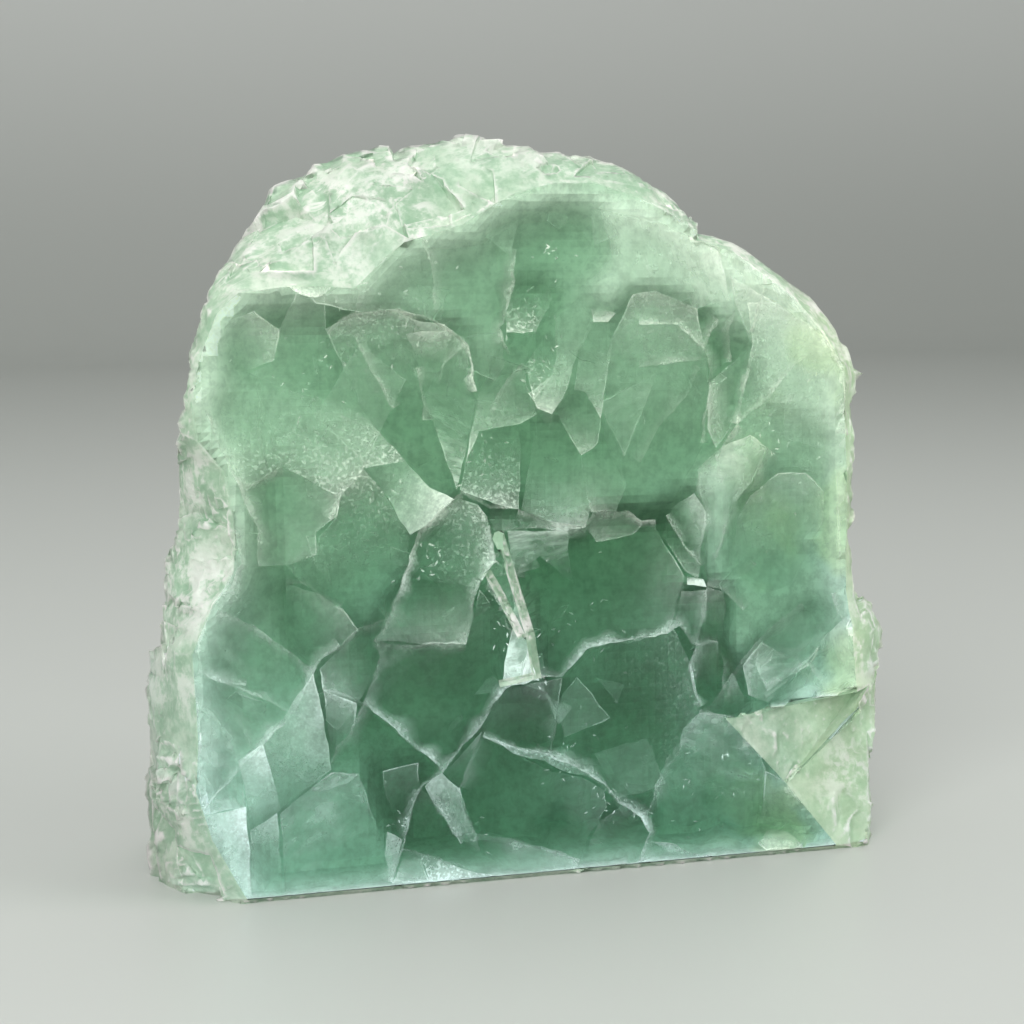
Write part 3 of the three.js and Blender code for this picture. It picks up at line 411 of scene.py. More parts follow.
# Loose cleavages scattered through the stone, mm.
LOOSE_SEED = 29
LOOSE_MANY, LOOSE_TRIES = 100, 40  # how many, and how often each is tried
LOOSE_SIZE = (3.5, 12.0)
LOOSE_SHALLOW, LOOSE_SMALLER = (1.5, 8), 0.55  # how deep two in three lie, and their share of the size
LOOSE_LEAN = 0.12  # how much they stray from the stone's own directions
LOOSE_SIDES, LOOSE_UNEVEN = (3, 4, 4, 5), 0.25  # how many sides, and how uneven they are
LOOSE_MILK = (0.02, 0.12)
LOOSE_GLINT, LOOSE_LOOKS = 0.7, 0.3  # how bright the edge, and the share with each look
LOOSE_MARGIN, LOOSE_DEEPEST = 1.2, 7.0  # how far under the skin they lie

# Small sparkles, mm. Each row: x and height of their middle, how far they stray, how many, how bright.
SPARKLE_SEED = 11
SPARKLE_SIZE = (0.12, 0.38)
SPARKLE_WIDE, SPARKLE_LONG = 0.45, 1.6  # shape, in sizes
SPARKLE_DEEP = (0.5, 1.5)  # how deep under the face
SPARKLE_DIM = 0.4  # how bright the dimmest is, beside the brightest
SPARKLE_MARGIN = 0.45  # how far under the skin they lie
SPARKLES = [
    (31, 18, 0.35, 4, 1.0), (0.5, 103.5, 1.6, 14, 0.8), (-27, 11.5, 0.7, 6, 0.9),
    (-6, 41, 2.0, 26, 0.9), (-4.5, 35.5, 1.6, 24, 1.0), (-9.5, 54, 0.8, 12, 0.9),
    (-20, 54, 2.2, 30, 0.6), (10.5, 12.5, 2.0, 18, 0.7), (2.5, 18.5, 2.5, 16, 0.7),
    (48, 83, 0.7, 6, 1.0), (53, 80, 0.6, 4, 0.8), (40.5, 72, 2.0, 16, 0.7),
    (-24.5, 97.5, 5.0, 20, 0.5), (-37, 82, 5.0, 50, 0.5), (-28, 92, 3.5, 22, 0.5),
    (-11.5, 71, 2.5, 28, 0.6), (-1.5, 94, 2.4, 34, 0.6), (-0.5, 85, 1.8, 22, 0.6),
    (-27, 66, 2.0, 16, 0.6), (8, 43, 6.0, 30, 0.4), (12, 25, 6.0, 24, 0.4), (28, 12, 5.0, 26, 0.5),
    (-13, 8, 1.5, 10, 0.5), (45, 62, 7.0, 26, 0.5),
]

# Where the skin is whitest, mm: x, height, radius, strength.
PALE_PATCHES = [
    (-33, 112, 6, 1.0), (-26, 112, 6, 1.0), (-21, 109, 5, 1.0), (-21, 116, 5, 0.9), (-45, 104, 6, 0.6),
    (-38, 106, 6, 0.7), (-33, 102, 5, 0.6), (-53, 100, 5, 0.6), (-50, 106, 5, 0.4), (-57, 68, 7, 0.7),
    (-57, 50, 9, 0.8), (-62, 35, 6, 0.5), (-60, 85, 6, 0.5), (48, 92, 13, 0.9), (38, 101, 10, 0.8),
    (24, 110, 8, 0.7), (57, 84, 6, 0.8), (61, 37, 9, 1.0), (56, 12, 8, 0.6), (-62, 14, 8, 0.5),
    (-7, 44, 12, 1.0), (4, 121, 9, 0.6), (-8, 121, 6, 0.5), (14, 120, 7, 0.6),
]


# ---- Small tools ----

def only(*things):
    """Selects these objects alone, the first of them active."""
    bpy.ops.object.select_all(action="DESELECT")
    for thing in things:
        thing.select_set(True)
    bpy.context.view_layer.objects.active = things[0]


def in_edit(thing, mode="VERT"):
    """Opens thing alone for editing, with nothing selected in it."""
    only(thing)
    bpy.ops.object.mode_set(mode="EDIT")
    bpy.ops.mesh.select_mode(type=mode)
    bpy.ops.mesh.select_all(action="DESELECT")


def out_of_edit():
    bpy.ops.object.mode_set(mode="OBJECT")


def select_faces(thing, wanted):
    """Selects, in the thing that is open for editing, the faces that wanted picks from its mesh."""
    bm = bmesh.from_edit_mesh(thing.data)
    for face in wanted(bm):
        face.select_set(True)
    bmesh.update_edit_mesh(thing.data)


def coords(mesh, what="co"):
    """The places, or the normals, of all the mesh's points as rows."""
    rows = np.zeros(len(mesh.vertices) * 3)
    if what == "co":
        mesh.vertices.foreach_get("co", rows)
    else:
        mesh.vertex_normals.foreach_get("vector", rows)
    return rows.reshape(-1, 3)


def put_coords(mesh, rows):
    mesh.vertices.foreach_set("co", rows.astype(np.float32).ravel())
    mesh.update()


def store(mesh, name, values, domain="POINT"):
    """Keeps one number for each point, or each face, of the mesh under that name."""
    layer = mesh.attributes.get(name) or mesh.attributes.new(name, "FLOAT", domain)
    layer.data.foreach_set("value", np.asarray(values, np.float32))


def smooth(low, high, value):
    t = np.clip((value - low) / (high - low), 0, 1)
    return t * t * (3 - 2 * t)


def behind_face(rows):
    """How far behind the polished face's plane these points are, in metres."""
    rows = np.asarray(rows)
    plane_y = (FACE_AT_FOOT * MM) + FACE_LEAN * rows[..., 2]
    return (rows[..., 1] - plane_y) * -FACE_OUT.y


# ---- The stone ----

def cleavage_directions():
    """The four ways that fluorite parts, as it lies in this slab."""
    turn = Euler((CRYSTAL_TIP, 0, CRYSTAL_TURN)).to_matrix()
    return [(turn @ Vector(d)).normalized() for d in ((1, 1, 1), (-1, 1, 1), (1, -1, 1), (1, 1, -1))]


def stone_blank():
    """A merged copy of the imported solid."""
    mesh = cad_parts["fluorite"].data.copy()
    stone = bpy.data.objects.new("fluorite_freeform", mesh)
    bpy.context.scene.collection.objects.link(stone)
    in_edit(stone)
    bpy.ops.mesh.select_all(action="SELECT")
    bpy.ops.mesh.remove_doubles(threshold=0.003 * MM)
    out_of_edit()
    mesh.materials.clear()
    return stone


def flat_faces(bm, which):
    """The faces that the saw and the polish left flat: the polished face, the foot, or both."""
    found = []
    for face in bm.faces:
        middle = face.calc_center_median()
        polished = face.normal.dot(FACE_OUT) > FLAT_TURN and abs(behind_face(middle)) < FLAT_NEAR * MM
        foot = face.normal.z < -FLAT_TURN and middle.z < FLAT_NEAR * MM
        if (polished and "face" in which) or (foot and "foot" in which):
            found.append(face)
    return found


def grid_the_face(stone):
    """Merges what is flat, and cuts the polished face into an even grid."""
    in_edit(stone, "FACE")
    select_faces(stone, lambda bm: flat_faces(bm, ("face", "foot")))
    bpy.ops.mesh.dissolve_limited(angle_limit=0.002, use_dissolve_boundaries=False)
    low, high = CAD_BOX
    cuts = [((x, 0, 0), (1, 0, 0)) for x in np.arange(low.x, high.x, FACE_GRID * MM)[1:]]
    cuts += [((0, 0, z), (0, 0, 1)) for z in np.arange(low.z, high.z, FACE_GRID * MM)[1:]]
    for place, across in cuts:
        bpy.ops.mesh.select_all(action="DESELECT")
        select_faces(stone, lambda bm: flat_faces(bm, ("face",)))
        bpy.ops.mesh.bisect(plane_co=place, plane_no=across)
    out_of_edit()


def refine_broken_skin(stone):
    """Splits the long edges of the broken skin until it is fine enough to carry crumbs."""
    in_edit(stone, "EDGE")
    for _ in range(MOST_SPLITS):
        bm = bmesh.from_edit_mesh(stone.data)
        flat = set(flat_faces(bm, ("face", "foot")))
        long_edges = []
        for edge in bm.edges:
            longest = CRUMB_EDGES[edge.verts[0].co.y > FRONT_SHARE_Y * MM]
            if edge.calc_length() > longest * MM and any(f not in flat for f in edge.link_faces):
                long_edges.append(edge)
        if not long_edges:
            break
        bpy.ops.mesh.select_all(action="DESELECT")
        for edge in long_edges:
            edge.select_set(True)
        bmesh.update_edit_mesh(stone.data)
        bpy.ops.mesh.subdivide(number_cuts=1)
        bpy.ops.mesh.select_all(action="DESELECT")
        bpy.ops.mesh.select_mode(type="FACE")
        select_faces(stone, lambda bm: set(bm.faces) - set(flat_faces(bm, ("face", "foot"))))
        bpy.ops.mesh.quads_convert_to_tris(quad_method="BEAUTY", ngon_method="BEAUTY")
        bpy.ops.mesh.beautify_fill(angle_limit=math.radians(4))
        bpy.ops.mesh.select_mode(type="EDGE")
    out_of_edit()


def cleave(rows, normals, strength):
    """Steps the skin along the cleavage directions, patch by patch, as fluorite breaks."""
    directions = cleavage_directions()
    moved = rows.copy()
    for i, (place, out, share) in enumerate(zip(rows, normals, strength)):
        if share < 0.01:
            continue
        distance, seeds = noise.voronoi(Vector(place) / (CLEAVED_PATCH * MM))
        pick = noise.cell(seeds[0] * 7.3)
        order = sorted(directions, key=lambda d: -abs(d.dot(Vector(out))))
        along = order[0] if pick < NEAREST_SHARE else order[1]
        step = (STEP_LEAST + STEP_MORE * noise.cell(seeds[0] * 3.1 + Vector((5, 5, 5)))) * MM
        height = along.dot(Vector(place)) / step
        whole = math.floor(height)
        ramp = smooth(STEP_FLAT, 1.0, height - whole)
        fade = min(1.0, (distance[1] - distance[0]) / PATCH_SEAM)
        shift = (whole + ramp - height + STEP_OUT) * step
        moved[i] += np.array(along) * shift * share * fade
    return moved


def crumble(rows, normals, strength):
    """Roughens the skin with crumbs and shallow dents."""
    (coarse_width, coarse_height), (fine_width, fine_height) = COARSE_CRUMB, FINE_CRUMB
    moved = rows.copy()
    for i, (place, out, share) in enumerate(zip(rows, normals, strength)):
        if share < 0.01:
            continue
        coarse = noise.fractal(Vector(place) / (coarse_width * MM), 0.8, 2.1, 3)
        fine = noise.noise(Vector(place) / (fine_width * MM))
        moved[i] += out * (coarse_height * coarse + fine_height * fine) * share * MM
    return moved


def break_the_skin(stone):
    """Gives the broken skin its steps and crumbs, and leaves the flat faces flat."""
    mesh = stone.data
    on_face, on_foot, broken = np.zeros((3, len(mesh.vertices)), bool)
    bm = bmesh.new()
    bm.from_mesh(mesh)
    face_set, foot_set = set(flat_faces(bm, ("face",))), set(flat_faces(bm, ("foot",)))
    for vertex in bm.verts:
        for face in vertex.link_faces:
            if face in face_set:
                on_face[vertex.index] = True
            elif face in foot_set:
                on_foot[vertex.index] = True
            else:
                broken[vertex.index] = True
    bm.free()
    rows, normals = coords(mesh), coords(mesh, "normal")
    strength = broken.astype(float)
    strength[on_face] *= WORN_RIM
    strength *= 1 - RIM_CALM * smooth(*RIM_CALM_FROM, rows[:, 2] / MM) * (rows[:, 1] < 0)
    moved = crumble(cleave(rows, normals, strength), normals, strength)
    shift = moved - rows
    out = np.array(FACE_OUT)
    shift[on_face] -= np.outer(shift[on_face] @ out, out)
    shift[on_foot, 2] = 0
    inner = (on_face | on_foot) & ~broken
    shift[inner] = 0
    moved = rows + shift
    # Nothing that broke stands proud of the flats.
    depth = behind_face(moved)
    proud = broken & ~on_face & (depth < SUNK * MM)
    moved[proud] -= np.outer(SUNK * MM - depth[proud], out)
    low = broken & ~on_foot & (moved[:, 2] < SUNK * MM)
    moved[low, 2] = SUNK * MM
    put_coords(mesh, moved)
    return on_face, on_foot


def neighbours_mean(mesh, values):
    """The mean over each point's neighbours of values, one row a point."""
    ends = np.zeros(len(mesh.edges) * 2, int)
    mesh.edges.foreach_get("vertices", ends)
    ends = ends.reshape(-1, 2)
    total = np.zeros_like(values)
    count = np.zeros(len(values))
    for a, b in ((0, 1), (1, 0)):
        np.add.at(total, ends[:, a], values[ends[:, b]])
        np.add.at(count, ends[:, a], 1)
    return total / np.maximum(count, 1).reshape(-1, *[1] * (values.ndim - 1))


def note_the_skin(stone, on_face, on_foot):
    """Stores what the finish needs to know: what is broken, which edges are crests that get a painted
    highlight, how pale it is.
    """
    mesh = stone.data
    rows, normals = coords(mesh), coords(mesh, "normal")
    bm = bmesh.new()
    bm.from_mesh(mesh)
    flat = {face.index for face in flat_faces(bm, ("face",))}
    bm.free()
    store(mesh, "broken", [0.0 if i in flat else 1.0 for i in range(len(mesh.polygons))], "FACE")
    # The crests found here are where the finish paints a highlight into the frosted colour.
    hollow = ((neighbours_mean(mesh, rows) - rows) * normals).sum(1) / MM
    crest = np.clip(-hollow * CREST_GAIN, -1, 1)
    crest[on_face | on_foot] = 0
    crest = 0.6 * crest + 0.4 * neighbours_mean(mesh, crest)
    store(mesh, "crest", crest)
    pale = np.zeros(len(rows))
    for x, height, radius, strength in PALE_PATCHES:
        away = np.hypot(rows[:, 0] / MM - x, rows[:, 2] / MM - height)
        inner, outer = (radius * share for share in PALE_FADE)
        pale = np.maximum(pale, strength * (1 - smooth(inner, outer, away)))
    store(mesh, "pale", pale)


def make_stone():
    stone = stone_blank()
    grid_the_face(stone)
    refine_broken_skin(stone)
    on_face, on_foot = break_the_skin(stone)
    note_the_skin(stone, on_face, on_foot)
    only(stone)
    bpy.ops.object.shade_smooth_by_angle(angle=math.radians(24))
    return stone


# ---- The veils inside ----

def sight_through(place):
    """The way a line of sight goes on inside the stone from that place on the polished face."""
    sight = (place - CAMERA_AT).normalized()
    meets = -sight.dot(FACE_OUT)
    bent = sight / IOR + FACE_OUT * (meets / IOR - math.sqrt(1 - (1 - meets**2) / IOR**2))
    return bent.normalized()


def under_face(x, height, depth):
    """The place depth mm under the face that shows at (x, height) mm on it from the front."""
    on_face = Vector((x, FACE_AT_FOOT + FACE_LEAN * height, height)) * MM
    inward = sight_through(on_face)
    return on_face + inward * (depth * MM / -inward.dot(FACE_OUT))


def rough_outline(corners, spacing, sway, seed):
    """The outline with points every spacing mm or so, swaying a little from straight."""
    points = []
    for i, start in enumerate(corners):
        a, b = Vector(start), Vector(corners[(i + 1) % len(corners)])
        side = (b - a).orthogonal().normalized()
        pieces = max(1, round((b - a).length / spacing))
        for k in range(pieces):
            t = k / pieces
            p = a.lerp(b, t)
            bend = noise.noise(Vector((p.x / SWAY_LENGTH, p.y / SWAY_LENGTH, seed)))
            calm = min(1, 4 * t * (1 - t) + 0.2)
            points.append(p + side * (bend * sway * calm))
    return points


def signed_area(points):
    return 0.5 * sum(a.x * b.y - b.x * a.y for a, b in zip(points, points[1:] + points[:1]))


def drawn_in(points, width):
    """The outline moved in by width, for a bright edge of that width."""
    if signed_area(points) < 0:
        points = points[::-1]
    inner = []
    for i, p in enumerate(points):
        before = (p - points[i - 1]).normalized()
        after = (points[(i + 1) % len(points)] - p).normalized()
        left = Vector((-before.y - after.y, before.x + after.x))
        if left.length < 0.2:
            continue
        left.normalize()
        across = max(0.5, left.dot(Vector((-before.y, before.x))))
        inner.append(p + left * width / across)
    return inner


def is_within(point, outline):
    """Whether the point lies within the outline, by the sides that lie to its right."""
    inside = False
    for a, b in zip(outline, outline[1:] + outline[:1]):
        if (a.y > point.y) != (b.y > point.y):
            if point.x < a.x + (point.y - a.y) * (b.x - a.x) / (b.y - a.y):
                inside = not inside
    return inside


VEIL_SLOT, MILK_SLOT = 1, 2  # places of their finishes in the list; the skin's comes first


class Sheets:
    """Thin closed sheets gathered into one mesh, with the looks of each of their points."""

    def __init__(self):
        self.places, self.faces = [], []
        self.looks = {"milk": [], "edge": [], "speckle": [], "streak": []}
        self.cloudy = []

    def add(self, front, faces, milk, edge, speckle=0.0, streak=0.0, cloud=False, back=None):
        """front: the sheet's points; faces: its triangles; milk and edge: a number for each point."""
        first_face = len(self.faces)
        front = [Vector(p) for p in front]
        normal = Vector()
        for a, b, c in faces:
            normal += (front[b] - front[a]).cross(front[c] - front[a])
        normal.normalize()
        back = back or [p - normal * VEIL_THICKNESS * MM for p in front]
        start, n = len(self.places), len(front)
        self.places += front + back
        self.faces += [tuple(start + v for v in f) for f in faces]
        self.faces += [tuple(start + n + v for v in reversed(f)) for f in faces]
        sides = {}
        for f in faces:
            for a, b in zip(f, f[1:] + f[:1]):
                sides[(a, b)] = True
        for a, b in sides:
            if (b, a) not in sides:
                self.faces.append((start + b, start + a, start + n + a, start + n + b))
        looks = {"milk": milk, "edge": edge, "speckle": [speckle] * n, "streak": [streak] * n}
        for name, values in looks.items():
            self.looks[name] += list(values) * 2
        self.cloudy += [cloud] * (len(self.faces) - first_face)

    def mesh_object(self, name):
        mesh = bpy.data.meshes.new(name)
        mesh.from_pydata([tuple(p) for p in self.places], [], self.faces)
        for look, values in self.looks.items():
            store(mesh, look, values)
        slots = [MILK_SLOT if cloud else VEIL_SLOT for cloud in self.cloudy]
        mesh.polygons.foreach_set("material_index", slots)
        thing = bpy.data.objects.new(name, mesh)
        bpy.context.scene.collection.objects.link(thing)
        return thing


class Inside:
    """Tells how deep inside the stone a point is, and how thick the stone is there."""

    WAYS = (Vector((0.9, 0.1, -0.42)), Vector((-0.85, -0.05, 0.5)), Vector((0.1, 0.3, 0.95)))

    def __init__(self, stone):
        bm = bmesh.new()
        bm.from_mesh(stone.data)
        self.tree = BVHTree.FromBMesh(bm)
        bm.free()

    def depth(self, place):
        """How far the skin is, in mm, negative outside the stone."""
        away = self.tree.find_nearest(place)[3] / MM
        hits = [(self.tree.ray_cast(place, way)[1], way) for way in self.WAYS]
        leaving = sum(out is not None and out.dot(way) > 0 for out, way in hits)
        return away if 2 * leaving > len(hits) else -away

    def span(self, x, height):
        """Where the line of sight through (x, height) mm on the face enters and leaves the stone."""
        on_face, deeper = under_face(x, height, 0), under_face(x, height, 1)
        inward = (deeper - on_face).normalized()
        mm_deep = 1 / (deeper - on_face).length
        start = on_face - inward * SPAN_START * MM
        enters = self.tree.ray_cast(start, inward)[3]
        if enters is None:
            return None
        further = enters + 0.05 * MM
        leaves = self.tree.ray_cast(start + inward * further, inward)[3]
        if leaves is None:
            return None
        return tuple(mm_deep * (d - SPAN_START * MM) for d in (enters, further + leaves))


def veil_points(corners, seed):
    """Triangles over an outline, with an edge band: flat points, triangles, edge share."""
    outline = rough_outline(corners, OUTLINE_POINTS, OUTLINE_SWAY, seed)
    if signed_area(outline) < 0:
        outline = outline[::-1]
    inner = drawn_in(outline, EDGE_WIDTH)
    xs, ys = [p.x for p in outline], [p.y for p in outline]
    middle = [
        Vector((x, y))
        for x in np.arange(min(xs) + VEIL_INSET, max(xs), VEIL_POINTS)
        for y in np.arange(min(ys) + VEIL_INSET, max(ys), VEIL_POINTS)
        if is_within(Vector((x, y)), inner)
    ]
    points = outline + inner + middle
    n = len(outline)
    edges = [(i, (i + 1) % n) for i in range(n)]
    flat, _, triangles, origin, _, _ = delaunay_2d_cdt(points, edges, [list(range(n))], 1, 1e-6)
    edge = [1.0 if any(o < n for o in found) else 0.0 for found in origin]
    return flat, [tuple(t) for t in triangles], edge


def patchy(milk, places):
    """The veil's milk at each of its points, thicker and thinner in patches."""
    waves = (noise.fractal(p / (PATCH_LENGTH * MM), 0.7, 2.1, 4) for p in places)
    return [max(0.0, milk * (1 + PATCH_SWING * wave)) for wave in waves]


def glinting(place):
    """How bright a crack's edge is there: it catches the light only in parts."""
    least, more = GLINTS
    return float(smooth(-0.25, 0.45, noise.noise(place / (GLINT_LENGTH * MM)))) * more + least


def kept_inside(inside, front, triangles):
    """The triangles whose middles lie under the skin."""
    return [t for t in triangles if inside.depth(sum((front[v] for v in t), Vector()) / 3) > 0]


def grain_veils(sheets, inside):
    """The veil in front of each grain, which dips away from the face and fades out."""
    for seed, (_, milk, _, dip, slope, look, corners) in enumerate(GRAINS):
        flat, triangles, edge = veil_points(corners, seed * 3.7)
        way = Vector((math.cos(math.radians(dip)), math.sin(math.radians(dip))))
        middle = sum((Vector(p) for p in corners), Vector((0, 0))) / len(corners)
        start, end = (f(p.dot(way) for p in flat) for f in (min, max))
        front = []
        for p in flat:
            warp = VEIL_WARP * (1 + noise.noise(Vector((p.x / WARP_LENGTH, p.y / WARP_LENGTH, seed * 1.3))))
            depth = NEAREST + slope * (p.dot(way) - start) + warp
            place = under_face(p.x, p.y, depth)
            while depth > NEAREST and inside.depth(place) < LIFT_MARGIN:
                depth *= VEIL_LIFT
                place = under_face(p.x, p.y, max(NEAREST, depth))
            q = Vector(p)
            for _ in range(VEIL_PULLS):
                if inside.depth(place) > VEIL_MARGIN:
                    break
                q = q.lerp(middle, VEIL_PULL)
                place = under_face(q.x, q.y, max(NEAREST, depth))
            place.z = max(place.z, VEIL_LOWEST * MM)
            front.append(place)
        fade = [VEIL_FADE * ((end - p.dot(way)) / (end - start)) ** FADE_POWER for p in flat]
        milks = [m * f for m, f in zip(patchy(milk, front), fade)]
        glints = [VEIL_GLINT * e * f * glinting(q) for e, f, q in zip(edge, fade, front)]
        sheets.add(front, kept_inside(inside, front, triangles), milks, glints, *LOOK_SHARES[look])


def crack_lines(sheets, inside):
    """The cracks between the grains: a fine bright line each, with a pale wing that dips away."""
    for seed, (bright, side_sign, points) in enumerate(CRACK_LINES):
        path = [Vector(p) for p in points]
        fine = []
        for a, b in zip(path, path[1:]):
            pieces = max(1, round((b - a).length / LINE_POINTS))
            fine += [a.lerp(b, k / pieces) for k in range(pieces)]
        fine.append(path[-1])
        fine = [p for p in fine if inside.depth(under_face(p.x, p.y, LINE_DEPTHS[0])) > VEIL_MARGIN]
        if len(fine) < 2:
            continue
        half = LINE_WIDTHS[0] + LINE_WIDTHS[1] * bright
        front, edge, milk = [], [], []
        for i, p in enumerate(fine):
            along = (fine[min(i + 1, len(fine) - 1)] - fine[max(i - 1, 0)]).normalized()
            side = Vector((-along.y, along.x)) * side_sign
            sway = LINE_SWAY * noise.noise(Vector((p.x / SWAY_WAVE, p.y / SWAY_WAVE, seed + 50)))
            reach = WING_REACH * (0.6 + noise.noise(Vector((p.x / WING_WAVE, p.y / WING_WAVE, seed + 90))))
            wing = half + max(WING_LEAST, reach)
            for across, depth in zip((-half, half, wing), LINE_DEPTHS[1:]):
                q = p + side * (across + sway)
                front.append(under_face(q.x, max(q.y, LINE_LOWEST), depth))
            shine = bright * (LINE_SHINE + glinting(front[-2]))
            edge += [shine, shine, 0.0]
            milk += [0.0, WING_MILK * bright, 0.0]
        faces = []
        for i in range(0, len(front) - 3, 3):
            for k in (i, i + 1):
                faces += [(k, k + 1, k + 4), (k, k + 4, k + 3)]
        sheets.add(front, faces, milk, edge, *LINE_LOOK)


def inside_distance(xs, zs, corners):
    """How far each point lies inside the outline, in mm, negative outside it."""
    nearest = np.full(xs.shape, 1e9)
    within = np.zeros(xs.shape, bool)
    for (ax, az), (bx, bz) in zip(corners, corners[1:] + corners[:1]):
        share = ((xs - ax) * (bx - ax) + (zs - az) * (bz - az)) / ((bx - ax) ** 2 + (bz - az) ** 2)
        share = np.clip(share, 0, 1)
        nearest = np.minimum(nearest, np.hypot(xs - ax - share * (bx - ax), zs - az - share * (bz - az)))
        if az != bz:
            crosses = (az > zs) != (bz > zs)
            within ^= crosses & (xs < ax + (zs - az) * (bx - ax) / (bz - az))
    return np.where(within, nearest, -nearest)


def milk_depths(xs, zs):
    """How deep the stone is clear at each of those places on the face."""
    inner = [inside_distance(xs, zs, grain[-1]) for grain in GRAINS]
    grains_deep = [grain[2] for grain in GRAINS]
    near = [(MILK_BLUR + np.maximum(0, -distance)) ** -4 for distance in inner]
    deep = sum(n * d for n, d in zip(near, grains_deep)) / sum(near)
    for distance, grain_deep in zip(inner, grains_deep):
        deep += (grain_deep - deep) * smooth(-MILK_BLUR, MILK_BLUR, distance)
    for i, (x, z) in enumerate(zip(xs, zs)):
        for length, strength in MILK_WAVES:
            place = Vector((x / length, z / length, length))
            deep[i] *= 1 + strength * noise.fractal(place, 0.8, 2.1, 3)
    return deep


def softened(grid):
    """The grid with each number evened out a little with those beside it."""
    wide = np.pad(grid, 1, mode="edge")
    beside = wide[:-2, 1:-1] + wide[2:, 1:-1] + wide[1:-1, :-2] + wide[1:-1, 2:]
    return 0.4 * grid + 0.15 * beside


def milk_grid():
    """The places that may hold milk, all over the face and beyond it: x and height, mm."""
    low, high = (v / MM for v in CAD_BOX)
    across = np.arange(low.x - MILK_BEYOND, high.x, MILK_POINTS)
    up = np.arange(FOOT_HEIGHT, high.z, MILK_POINTS)
    return np.meshgrid(across, up, indexing="ij")


def misses_face(span):
    """Whether a line of sight meets the broken skin, or nothing, and not the polished face."""
    return span is None or span[0] > BEHIND_FACE


def shape_rim(depths, xs, zs, spans):
    """Raises the milk towards the rim of the face, and gives it waves under the broken skin."""
    beyond = []
    for at, span in spans.items():
        off_oval = math.hypot(xs[at] / RIM_OVAL[0], (zs[at] - RIM_MIDDLE) / RIM_OVAL[1])
        if misses_face(span) and off_oval > 1:
            beyond.append((xs[at], 0, zs[at]))
    rim = KDTree(len(beyond))
    for k, place in enumerate(beyond):
        rim.insert(place, k)
    rim.balance()
    for at, span in spans.items():
        sunk = float(smooth(0, RIM_REACH, rim.find((xs[at], 0, zs[at]))[2]))
        depths[at] = RIM_DEEP + (depths[at] - RIM_DEEP) * sunk
        if misses_face(span):
            place = Vector((xs[at] / SHOULDER_WAVE, zs[at] / SHOULDER_WAVE, 4))
            waves = 1 + SHOULDER_SWING * noise.fractal(place, 0.8, 2.1, 3)
            depths[at] = SHOULDER_DEEP * max(SHOULDER_LEAST, waves)


def comes_near_flank(inside, near, far):
    """Whether the milk between two points comes near the notched skin of the left flank's foot."""
    if near.x > NOTCHED[0] * MM or near.z > NOTCHED[1] * MM:
        return False
    looks = (near.lerp(far, k / FLANK_LOOKS) for k in range(1, FLANK_LOOKS + 1))
    return any(inside.depth(p) < min(FLANK_MARGIN, FLANK_FOOT * p.z / MM) for p in looks)


def milk_columns(inside, xs, zs, spans, depths):
    """The near and the far end of the milk at each place that holds some."""
    columns = {}
    for at, span in spans.items():
        if span is None or span[1] - span[0] < LEAST_ROOM:
            continue
        enters, leaves = span
        slim = min(LEAST_MILK, LEAST_SHARE * (leaves - enters))
        deep = min(depths[at], FOOT_DEEP + FOOT_SLOPE * (zs[at] - FOOT_HEIGHT))
        middle = (enters + leaves) / 2
        near = under_face(xs[at], zs[at], min(enters + deep, middle - slim))
        far = under_face(xs[at], zs[at], max(leaves - BACK_DEEP, middle + slim))
        if min(inside.depth(near), inside.depth(far)) < MILK_MARGIN:
            continue
        if not comes_near_flank(inside, near, far):
            columns[at] = near, far
    return columns


def without_holes(inside, columns, places):
    """The columns, with each that is missing between others made from those around it."""
    closed = dict(columns)
    for i, j in places:
        if (i, j) in columns:
            continue
        ways = ((1, 0), (-1, 0), (0, 1)) if j == 0 else ((1, 0), (-1, 0), (0, 1), (0, -1))
        around = []
        for a, b in ways:
            line = ((i + a * k, j + b * k) for k in range(1, HOLE_REACH))
            around.append(next((columns[at] for at in line if at in columns), None))
        if None in around:
            continue
        beside = around[:2] if j == 0 else around
        near, far = (sum(ends, Vector()) / len(ends) for ends in zip(*beside))
        if min(inside.depth(near), inside.depth(far)) > 0:
            closed[i, j] = near, far
    return closed


def milk_body(sheets, inside):
    """The milk behind the grains: one soft body, far under the face where a grain is clear."""
    xs, zs = milk_grid()
    depths = milk_depths(xs.ravel(), zs.ravel()).reshape(xs.shape)
    spans = {at: inside.span(xs[at], zs[at]) for at in np.ndindex(xs.shape)}
    shape_rim(depths, xs, zs, spans)
    for _ in range(MILK_SOFTENED):
        depths = softened(depths)
    columns = without_holes(inside, milk_columns(inside, xs, zs, spans, depths), spans)
    rings = []
    for i, j in columns:
        ring = [(i, j), (i + 1, j), (i + 1, j + 1), (i, j + 1)]
        if all(at in columns for at in ring):
            rings.append(ring)
    held = {at for ring in rings for at in ring}
    number = {at: k for k, at in enumerate(at for at in columns if at in held)}
    faces = []
    for ring in rings:
        a, b, c, d = (number[at] for at in ring)
        faces += [(a, b, c), (a, c, d)]
    near, far = (list(ends) for ends in zip(*(columns[at] for at in number)))
    sheets.add(near, faces, [1.0] * len(near), [0.0] * len(near), cloud=True, back=far)


